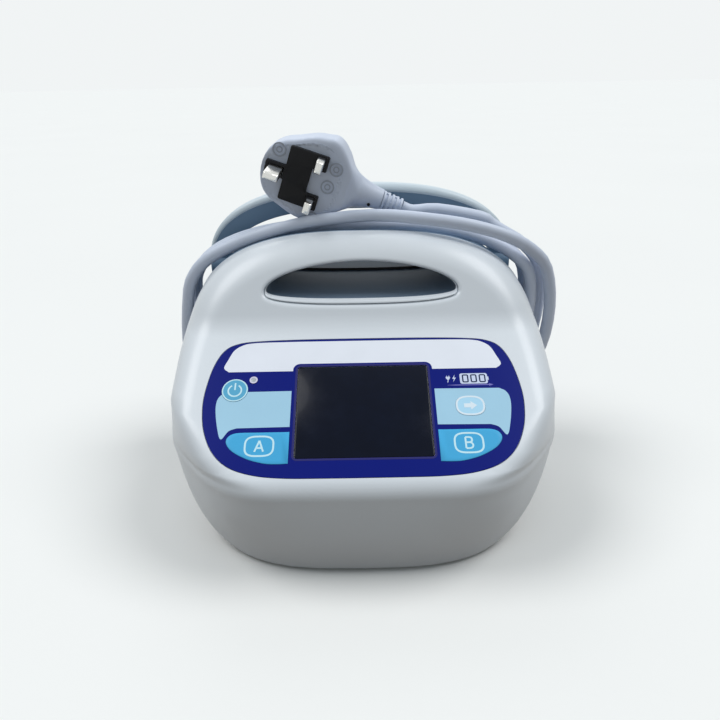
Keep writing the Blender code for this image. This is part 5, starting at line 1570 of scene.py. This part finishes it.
GLAND_GROOVE = ((0.0, 0.0), (0.0006, 0.00035), (0.0013, 0.00035), (0.0019, 0.0))
TAIL_ROUTE = ((0.0450, 0.1355, 0.1507),)


def stepped(turn, shares):
    return sum(change * smooth_step(turn, start, end) for start, end, change in shares)


def winding_spot(turn):
    """Place on the cord's middle line after so many turns, counted from the bottom."""
    angle = 2 * math.pi * (turn - 0.25)
    across, along = math.cos(angle), math.sin(angle)
    top, bottom = DRUM_TOP + STRAND_LIFT, DRUM_BOTTOM - STRAND_LIFT
    power, height = ((WINDING_UP_POWER, top - WINDING_WIDEST_Z) if along >= 0
                     else (WINDING_DOWN_POWER, WINDING_WIDEST_Z - bottom))
    spot = Vector((WINDING_HALF_WIDTH * powered(across, power), height * powered(along, power)))
    slope = Vector([math.copysign(abs(value / size) ** (power - 1), value) / size
                    for value, size in zip(spot, (WINDING_HALF_WIDTH, height))]).normalized()
    bulge = math.exp(-((turn - BULGE_TURN) / BULGE_SPREAD) ** 2)
    spot += slope * (LAYER_STEP * stepped(turn, LAYER_SHARES) + BULGE * bulge)
    depth = DRUM_BACK - DRUM_SIDE_GAP - CORD_R + CORD_PITCH * stepped(turn, PLACE_SHARES)
    return Vector((spot.x, back(depth - LEAN_OUT * stepped(turn, LEAN_SHARES)),
                   WINDING_WIDEST_Z + spot.y))


def winding_points():
    step = 1 / WINDING_POINTS
    turns = [WINDING_START]
    while turns[-1] + step < WINDING_END:
        turns.append(turns[-1] + step)
    points = [winding_spot(turn) for turn in turns]
    start = points[0] - (points[1] - points[0]).normalized() * 2 * CORD_R
    end = points[-1] + (points[-1] - points[-2]).normalized() * 2 * CORD_R
    return [start] + points + [end]


def gland_way():
    points = winding_points()
    return (points[1] - points[0]).normalized()


def gland_root():
    return winding_points()[0] - gland_way() * (GAP + GLAND_LENGTH)


def gland_matrix():
    turn = gland_way().to_track_quat("Z", "Y").to_matrix().to_4x4()
    return Matrix.Translation(gland_root()) @ turn


def gland_bore():
    """The cone that is cut from the boss for the gland."""
    mesh = turned("gland", ((-GAP, GLAND_R + GAP), (GLAND_LENGTH + GAP, GLAND_TIP_R + GAP)), 40)
    mesh.transform(gland_matrix())
    return mesh


def build_gland():
    """The gland, plain at its root and ribbed by grooves towards its tip."""
    profile = [(0.0, GLAND_R)]
    for rib in range(GLAND_RIBS):
        start = GLAND_LENGTH * (GLAND_PLAIN_SHARE + GLAND_RIBBED_SHARE * rib / GLAND_RIBS)
        radius = GLAND_R + (GLAND_TIP_R - GLAND_R) * start / GLAND_LENGTH
        profile += [(start + along, radius - deep) for along, deep in GLAND_GROOVE]
    profile.append((GLAND_LENGTH, GLAND_TIP_R))
    mesh = turned("gland", profile, 48)
    mesh.transform(gland_matrix())
    return keep("cord_gland_ribbed", mesh, "housing", "slate", "cord_gland", smooth=50.0)


def cord_route():
    """The whole middle line, from the gland's tip to the plug's relief, as one smooth line."""
    wound = winding_points()
    pose = plug_matrix()
    ahead = (wound[-1] - wound[-2]).normalized()
    end = pose @ Vector((RELIEF_END - GAP, 0, AXIS_SINK))
    arrive = pose @ Vector((RELIEF_END - GAP - 2 * CORD_R, 0, AXIS_SINK))
    tail = [Vector((x, back(d), z)) for x, d, z in TAIL_ROUTE]
    spots = wound + [wound[-1] + ahead * (GAP + 2 * CORD_R)] + tail + [arrive, end]
    return [Vector(p) for p in spline([tuple(p) for p in spots], 3, False)]


def build_cord(sizes, plug_pieces):
    """The cord as one curve, and the ribbed gland that it leaves."""
    route = cord_route()
    curve = bpy.data.curves.new("mains_cord", "CURVE")
    curve.dimensions = "3D"
    curve.bevel_depth = sizes.cord / 2
    curve.bevel_resolution = 5
    curve.use_fill_caps = True
    line = curve.splines.new("POLY")
    line.points.add(len(route) - 1)
    for point, spot in zip(line.points, route):
        point.co = (*spot, 1)
    curve.materials.append(finishes["cord"])
    cord = placed("mains_cord", curve)
    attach(cord, "housing")
    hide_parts("cord_winding", "cord_tail")
    gland = build_gland()
    [gland] + plug_pieces


# The plug, in a frame of its own: X towards the earth pin, Z into the plug

PLUG_FACE = (-0.0240, 0.1255, 0.1688)
PLUG_EARTH_WAY = (-0.94, 0.0, 0.337)
PLUG_BACK_WAY = (0.04, 0.995, 0.07)
PLUG_NECK = -0.0385
PLUG_LENGTH = 0.069
PLUG_STEPS = 46
AXIS_SINK = 0.0115
PLUG_WIDTHS = (
    (-0.0385, 0.0058), (-0.0330, 0.0066), (-0.0290, 0.0076), (-0.0245, 0.0090), (-0.0205, 0.0108),
    (-0.0178, 0.0119), (-0.0158, 0.0131), (-0.0140, 0.0146), (-0.0115, 0.0171), (-0.0080, 0.0203),
    (-0.0040, 0.0227), (0.0, 0.0234), (0.0040, 0.0235), (0.0080, 0.0229), (0.0125, 0.0215),
    (0.0165, 0.0200), (0.0205, 0.0186), (0.0240, 0.0166), (0.0268, 0.0140), (0.0288, 0.0106),
    (0.0300, 0.0066), (0.0305, 0.0026),
)
PLUG_FACES = (
    (-0.0385, 0.0058), (-0.0290, 0.0040), (-0.0240, 0.0028), (-0.0190, 0.0012), (-0.0155, 0.0),
    (0.0298, 0.0), (0.0305, 0.0020),
)
PLUG_BACKS = (
    (-0.0385, 0.0172), (-0.0290, 0.0192), (-0.0205, 0.0216), (-0.0150, 0.0226), (-0.0080, 0.0228),
    (0.0200, 0.0228), (0.0245, 0.0218), (0.0275, 0.0195), (0.0295, 0.0160), (0.0305, 0.0118),
)
PLUG_LEAN = (0.0016, 0.0012)
PLUG_SHOULDER = 0.0026
PLUG_END_SLOPE = 0.14
RELIEF_END = -0.0505
RELIEF_R = 0.0055
RELIEF_TIP_R = 0.0046
RELIEF_RIBS = 5
RELIEF_EASE = 0.0003
RELIEF_BAR_HALF = 0.0013
NECK_HOLE = (-0.0320, -0.0035, AXIS_SINK - 0.0068)
NECK_HOLE_R = 0.0009
NECK_HOLE_LENGTH = 0.0012
CARRIER_CORNERS = (
    (0.0284, 0.0038), (0.0175, 0.0038), (0.0175, 0.0148), (-0.0042, 0.0152), (-0.0042, 0.0068),
    (0.0034, 0.0068),
)
CARRIER_THICK = 0.0030
CARRIER_ROUND = 0.0010
PIN_EARTH_X = 0.02223
PIN_LINE_Y = 0.01111
EARTH_HALF = (0.003965, 0.001985)
LINE_HALF = (0.001985, 0.003175)
EARTH_LENGTH = 0.02273
LINE_LENGTH = 0.01770
SLEEVE_LENGTH = 0.0090
MARK_PLACES = ((0.0232, 0.0101), (-0.0071, -0.0006), (-0.0090, 0.0099), (-0.0035, -0.0200))
MARK_R = 0.0034
MARK_RINGS = ((1.0, 48, 0.0008, -0.00060), (0.42, 32, 0.0006, -0.00050))
MARK_PROUD = 0.0001
FIELD_START = ((-0.0141, 0.0022), (-0.0136, 0.0062), (-0.0124, 0.0105))
FIELD_FROM = -0.0120
FIELD_SHARES = (0.93, 0.86)
FIELD_SHIFT = 0.0007


def plug_matrix():
    depth = Vector(PLUG_BACK_WAY).normalized()
    earth = Vector(PLUG_EARTH_WAY)
    earth = (earth - depth * earth.dot(depth)).normalized()
    line = depth.cross(earth)
    turn = Matrix((earth, line, depth)).transposed().to_4x4()
    x, d, z = PLUG_FACE
    return Matrix.Translation((x, back(d), z)) @ turn


def plug_piece(name, mesh, finish, *nodes, smooth=30.0):
    """A piece of the plug, brought from the plug's frame into the pump's."""
    mesh.transform(plug_matrix())
    return keep(name, mesh, "housing", finish, *nodes, smooth=smooth)


def live_side(along):
    """Share of its width that the live side keeps towards the earth pin's end."""
    return 1 - PLUG_END_SLOPE * smooth_step(along, -0.004, 0.025)


def plug_section(along, count=72):
    """A section across the plug: flat at the face, rounder behind, a circle at the neck."""
    width, face, rear = (between(spline(spots, 5, False), along)
                         for spots in (PLUG_WIDTHS, PLUG_FACES, PLUG_BACKS))
    middle, half = (face + rear) / 2, (rear - face) / 2
    body = smooth_step(along, -0.024, -0.013)
    shoulder = (PLUG_SHOULDER * smooth_step(along, -0.0210, -0.0120)
                * (1 - smooth_step(along, -0.0095, 0.0030)))
    front_power, rear_power = 2 + 7.5 * body, 2 + 1.0 * body
    ring = []
    for step in range(count):
        angle = 2 * math.pi * step / count
        across, deep = math.cos(angle), math.sin(angle)
        power = rear_power if deep >= 0 else front_power
        side, level = powered(across, power), powered(deep, power)
        reach = width * live_side(along) + shoulder if across > 0 else width
        lean = body * (level + 1) / 2
        ring.append(Vector((along - PLUG_LEAN[0] * lean, reach * side + PLUG_LEAN[1] * lean,
                            middle + half * level)))
    return ring


def rounded_bar(name, half, low, high, ease, corner):
    """A pin with rounded corners and a tapered tip at its low end."""
    rings = []
    for z, inset in ((low, ease), (low + ease * 0.5, ease * 0.4), (low + ease * 1.2, 0.0),
                     (high, 0.0)):
        shape = rounded_box(half[0] - inset, half[1] - inset, max(corner - inset * 0.5, 0.0002), 4)
        rings.append(flat_ring(shape, z))
    return loft(name, rings)


def build_plug_body():
    """The body, the grained field on its face, and the round marks moulded into it, painted darker
    as painted shade along their relief.
    """
    steps = {PLUG_NECK + PLUG_LENGTH * k / PLUG_STEPS for k in range(PLUG_STEPS + 1)}
    sections = [plug_section(along) for along in sorted({x for x, width in PLUG_WIDTHS} | steps)]
    field = list(FIELD_START)
    field += [(x * FIELD_SHARES[0] + FIELD_SHIFT, width * FIELD_SHARES[1])
              for x, width in PLUG_WIDTHS if x > FIELD_FROM]
    outline = [(x, -width) for x, width in field]
    outline += [(x, width * live_side(x)) for x, width in reversed(field)]
    face = prism("face", spline(outline, 3), -0.00006, 0.0006)
    marks = [line_mesh("mark", shifted(circle(MARK_R * share, count), x, y), width, low,
                       MARK_PROUD, True)
             for x, y in MARK_PLACES for share, count, width, low in MARK_RINGS]
    return [plug_piece("plug_housing", loft("plug", sections), "plug_smooth", "plug_body",
                       smooth=40.0),
            plug_piece("plug_face_field", face, "plug", smooth=40.0),
            plug_piece("plug_round_marks", joined("marks", marks), "plug_mark_painted_shade")]


def build_carrier():
    """The black plate that the pins pass through."""
    corners = [(x, -y) for x, y in reversed(CARRIER_CORNERS)] + list(CARRIER_CORNERS)
    outline = softened(corners[::-1], CARRIER_ROUND)
    rings = [flat_ring(grown(outline, margin), z)
             for z, margin in ((-CARRIER_THICK - GAP, 0.0007), (-CARRIER_THICK + 0.0001, 0.0001),
                               (-CARRIER_THICK + 0.0006, 0.0), (-GAP, 0.0))]
    holes = [block("slot", (x - half_x - GAP, y - half_y - GAP, -CARRIER_THICK - OVERRUN),
                   (x + half_x + GAP, y + half_y + GAP, OVERRUN))
             for x, y, (half_x, half_y) in ((0, -PIN_LINE_Y, LINE_HALF), (0, PIN_LINE_Y, LINE_HALF),
                                            (PIN_EARTH_X, 0, EARTH_HALF))]
    return plug_piece("plug_pin_carrier", shaped(loft("carrier", rings), holes), "black",
                      "plug_carrier", smooth=40.0)


def build_pins():
    """The neutral and live pins with their half sleeves, and the longer earth pin."""
    pieces = []
    wider = [half + FINE_GAP for half in LINE_HALF]
    for name, side in (("neutral", -1), ("live", 1)):
        pin = rounded_bar("pin", LINE_HALF, -LINE_LENGTH, -GAP, 0.0011, 0.0005)
        sleeve = rounded_bar("sleeve", wider, -SLEEVE_LENGTH, -CARRIER_THICK, 0.0002, 0.0006)
        for mesh in (pin, sleeve):
            mesh.transform(Matrix.Translation((0, side * PIN_LINE_Y, 0)))
        pieces += [plug_piece("plug_pin_" + name, pin, "pin", "pin_" + name, smooth=50.0),
                   plug_piece("plug_sleeve_" + name, sleeve, "black", smooth=50.0)]
    earth = rounded_bar("pin", EARTH_HALF, -EARTH_LENGTH, -GAP, 0.0012, 0.0006)
    earth.transform(Matrix.Translation((PIN_EARTH_X, 0, 0)))
    return pieces + [plug_piece("plug_pin_earth", earth, "pin", "pin_earth", smooth=50.0)]


def build_relief():
    """The relief: a core, round ribs, and bars between them that change sides from rib to rib."""
    root = PLUG_NECK - GAP
    step = (RELIEF_END - root) / (2 * RELIEF_RIBS - 1)
    axis = (0, 0, AXIS_SINK)
    core = [(RELIEF_END, RELIEF_TIP_R - 0.0009), (root, RELIEF_R - 0.0013)]
    parts = [turned("core", core, 48, "X", axis)]
    across = (-RELIEF_BAR_HALF, RELIEF_BAR_HALF)
    for rib in range(RELIEF_RIBS):
        start = root + step * 2 * rib
        share = rib / (RELIEF_RIBS - 1)
        radius = RELIEF_R + (RELIEF_TIP_R - RELIEF_R) * share
        profile = [(start + step, CORD_R), (start + step, radius), (start, radius), (start, CORD_R)]
        parts.append(turned("rib", eased(profile, RELIEF_EASE, 3), 48, "X", axis))
        if rib + 1 < RELIEF_RIBS:
            for side in (-1, 1):
                ends = sorted((side * CORD_R * 0.8, side * (radius - 0.0006)))
                wide, deep = (across, ends) if rib % 2 else (ends, across)
                parts.append(block("bar", (start + step * 2, wide[0], AXIS_SINK + deep[0]),
                                   (start + step, wide[1], AXIS_SINK + deep[1])))
    return plug_piece("plug_relief_ribbed", joined("relief", parts), "plug_smooth",
                      "plug_strain_relief", smooth=40.0)


def build_neck_hole():
    # A short black plug in the neck stands for a hole: painted shade, no hole is cut.
    hole = turned("hole", ((0.0, NECK_HOLE_R), (NECK_HOLE_LENGTH, NECK_HOLE_R)), 24)
    hole.transform(Matrix.Translation(NECK_HOLE))
    return plug_piece("plug_neck_hole_painted_shade", hole, "black")


def build_plug():
    """Body, carrier, pins with half sleeves, and the ribbed relief."""
    pieces = build_plug_body() + [build_carrier()]
    return pieces + build_pins() + [build_relief(), build_neck_hole()]


# The studio

SKY_OVER_FLOOR = (0.99, 1.02, 1.045)
SKY_TINT = (0.85, 0.945, 1.0)
FLOOR_BOUNCE = (0.18, 0.142, 0.108)
FLOOR_REACH = 30.0
SENSOR_WIDTH = 36.0
NEAREST_SEEN = 0.005
CAMERA_ROLL = math.radians(-1)
FRONT_LAMP_WAY = (0.56, 0.03, 0.83)
REAR_LAMP_WAY = (-0.15, 0.80, 0.75)


def floor_finish(tone):
    """Pale where it is seen, and darker in the light that it throws up under the pump."""
    made = Finish("floor_pale", Roughness=0.9, Specular_IOR_Level=0.0)
    slow = made.noise(3.0, 2.0)
    made.feed("Base Color", made.mix(slow, shaded(tone, 0.985), shaded(tone, 1.01)))
    dull = made.node("ShaderNodeBsdfDiffuse", {}, {"Color": (*FLOOR_BOUNCE, 1.0)})
    either = made.node("ShaderNodeMixShader", {},
                       {0: made.seen_directly(), 1: dull, 2: Wire(made, made.shader.outputs[0])})
    made.put(made.tree.nodes["Material Output"].inputs[0], either)
    return made.material


def build_camera(studio):
    scene = bpy.context.scene
    camera = placed("camera", bpy.data.cameras.new("camera"))
    camera.data.lens = studio.lens
    camera.data.sensor_width = SENSOR_WIDTH
    camera.data.clip_start = NEAREST_SEEN
    camera.matrix_world = (Matrix.Translation(studio.spot) @ Matrix.Rotation(studio.tilt, 4, "X")
                           @ Matrix.Rotation(CAMERA_ROLL, 4, "Z"))
    scene.camera = camera


def build_floor(tone):
    bm = bmesh.new()
    bmesh.ops.create_grid(bm, x_segments=1, y_segments=1, size=FLOOR_REACH)
    floor = placed("floor", to_mesh("floor", bm))
    floor.data.materials.append(floor_finish(tone))


def build_lamps(studio):
    """Three soft suns. Each shines from its own way towards the pump."""
    x, y, z = FRONT_LAMP_WAY
    for name, power, way in (("lamp_left", studio.left, (-x, y, z)),
                             ("lamp_right", studio.right, (x, y, z)),
                             ("lamp_rear", studio.rear, REAR_LAMP_WAY)):
        lamp = bpy.data.lights.new(name, "SUN")
        lamp.energy = power
        lamp.angle = studio.spread
        thing = placed(name, lamp)
        thing.location = way
        thing.rotation_euler = Vector(way).to_track_quat("Z", "Y").to_euler()


def build_sky(strength, tone):
    """A faintly blue light from all round, and behind the pump a plain ground like the floor's."""
    world = bpy.data.worlds.new("sky")
    bpy.context.scene.world = world
    world.use_nodes = True
    sky = NodeTree(world.node_tree)
    for old in list(sky.tree.nodes):
        if old.type == "BACKGROUND":
            sky.tree.nodes.remove(old)
    soft = sky.node("ShaderNodeBackground", {}, {"Color": (*SKY_TINT, 1.0), "Strength": strength})
    distance = [min(v * share, 1.0) for v, share in zip(tone, SKY_OVER_FLOOR)]
    plain = sky.node("ShaderNodeBackground", {}, {"Color": (*distance, 1.0), "Strength": 1.0})
    either = sky.node("ShaderNodeMixShader", {}, {0: sky.seen_directly(), 1: soft, 2: plain})
    sky.put(sky.tree.nodes["World Output"].inputs[0], either)


def build_studio(studio, colours):
    """Camera, floor, lamps and sky."""
    build_camera(studio)
    build_floor(tuple(colours.floor))
    build_lamps(studio)
    build_sky(studio.sky, colours.floor)
    bpy.context.scene.view_settings.view_transform = "Standard"


# Operators, one for each piece or group of like pieces

plug_pieces = []
FEWEST_SHELL_FACES = 1000


class PUMP_OT_stage(bpy.types.Operator):
    """Sets up the floor, the lamps and the camera, and makes the finishes"""
    bl_idname = "pump.stage"
    bl_label = "Stage and finishes"

    def execute(self, context):
        finishes.update(make_finishes(context.scene.pump_colours))
        build_studio(context.scene.pump_studio, context.scene.pump_colours)
        return {"FINISHED"}


class PUMP_OT_front_shell(bpy.types.Operator):
    """Builds the white front shell with the rounded edge of its handle opening"""
    bl_idname = "pump.front_shell"
    bl_label = "Front shell"

    def execute(self, context):
        shell = build_front_shell(context.scene.pump_sizes)
        if len(shell.data.polygons) < FEWEST_SHELL_FACES:
            raise RuntimeError("The front shell came out empty")
        return {"FINISHED"}


class PUMP_OT_handle(bpy.types.Operator):
    """Builds the pale rim and the slate scoop of the handle opening"""
    bl_idname = "pump.handle"
    bl_label = "Handle rim and scoop"

    def execute(self, context):
        build_handle(context.scene.pump_sizes)
        return {"FINISHED"}


class PUMP_OT_panel(bpy.types.Operator):
    """Lays the panel film with its print, the display window and the status light"""
    bl_idname = "pump.panel"
    bl_label = "Panel film and window"

    def execute(self, context):
        sizes = context.scene.pump_sizes
        film = build_film(sizes)
        if not film.data.polygons:
            raise RuntimeError("The panel film came out empty")
        build_window()
        return {"FINISHED"}


class PUMP_OT_keys(bpy.types.Operator):
    """Builds the four keys and their signs"""
    bl_idname = "pump.keys"
    bl_label = "Keys"

    def execute(self, context):
        build_keys(context.scene.pump_sizes)
        return {"FINISHED"}


class PUMP_OT_rear_shell(bpy.types.Operator):
    """Builds the slate rear shell with its drum and rear plate"""
    bl_idname = "pump.rear_shell"
    bl_label = "Rear shell"

    def execute(self, context):
        shell = build_rear_shell(context.scene.pump_sizes)
        if len(shell.data.polygons) < FEWEST_SHELL_FACES:
            raise RuntimeError("The rear shell came out empty")
        return {"FINISHED"}


class PUMP_OT_rear_fittings(bpy.types.Operator):
    """Builds the air ports, the case screws and the rubber feet"""
    bl_idname = "pump.rear_fittings"
    bl_label = "Ports, screws and feet"

    def execute(self, context):
        build_ports()
        build_screws()
        build_feet()
        return {"FINISHED"}


class PUMP_OT_hook(bpy.types.Operator):
    """Builds the bed hook and finishes its brackets and pins"""
    bl_idname = "pump.hook"
    bl_label = "Bed hook"

    def execute(self, context):
        build_hook(context.scene.pump_sizes)
        return {"FINISHED"}


class PUMP_OT_plug(bpy.types.Operator):
    """Builds the mains plug with its carrier, pins and relief"""
    bl_idname = "pump.plug"
    bl_label = "Mains plug"

    def execute(self, context):
        plug_pieces.extend(build_plug())
        return {"FINISHED"}


class PUMP_OT_cord(bpy.types.Operator):
    """Winds the mains cord and builds its gland"""
    bl_idname = "pump.cord"
    bl_label = "Mains cord"

    def execute(self, context):
        if not plug_pieces:
            raise RuntimeError("The plug comes before the cord")
        build_cord(context.scene.pump_sizes, plug_pieces)
        return {"FINISHED"}


class PUMP_OT_insides(bpy.types.Operator):
    """Finishes the boards, the compressor, the valves and the rest of the inside"""
    bl_idname = "pump.insides"
    bl_label = "Inside pieces"

    def execute(self, context):
        for node, (finish, ease) in INSIDE_FINISHES.items():
            refinish(node, finish, ease)
        return {"FINISHED"}


STEPS = (
    "stage", "front_shell", "handle", "panel", "keys", "rear_shell", "rear_fittings", "hook",
    "plug", "cord", "insides",
)


class PUMP_PT_sidebar(bpy.types.Panel):
    """Sizes, colours, lamps and the steps that build the pump"""
    bl_idname = "PUMP_PT_sidebar"
    bl_label = "Compression therapy pump"
    bl_space_type = "VIEW_3D"
    bl_region_type = "UI"
    bl_category = "Pump"

    def draw(self, context):
        layout = self.layout
        for group in (context.scene.pump_colours, context.scene.pump_sizes,
                      context.scene.pump_studio):
            column = layout.column()
            for name in group.__annotations__:
                column.prop(group, name)
        for step in STEPS:
            layout.operator("pump." + step)


CLASSES = (
    PumpColours, PumpSizes, PumpStudio, PUMP_OT_stage, PUMP_OT_front_shell, PUMP_OT_handle,
    PUMP_OT_panel, PUMP_OT_keys, PUMP_OT_rear_shell, PUMP_OT_rear_fittings, PUMP_OT_hook,
    PUMP_OT_plug, PUMP_OT_cord, PUMP_OT_insides, PUMP_PT_sidebar,
)


def register():
    for kind in CLASSES:
        bpy.utils.register_class(kind)
    bpy.types.Scene.pump_colours = bpy.props.PointerProperty(type=PumpColours)
    bpy.types.Scene.pump_sizes = bpy.props.PointerProperty(type=PumpSizes)
    bpy.types.Scene.pump_studio = bpy.props.PointerProperty(type=PumpStudio)


def unregister():
    del bpy.types.Scene.pump_studio
    del bpy.types.Scene.pump_sizes
    del bpy.types.Scene.pump_colours
    for kind in reversed(CLASSES):
        bpy.utils.unregister_class(kind)


def main():
    register()
    for step in STEPS:
        getattr(bpy.ops.pump, step)()


if __name__ == "__main__":
    main()
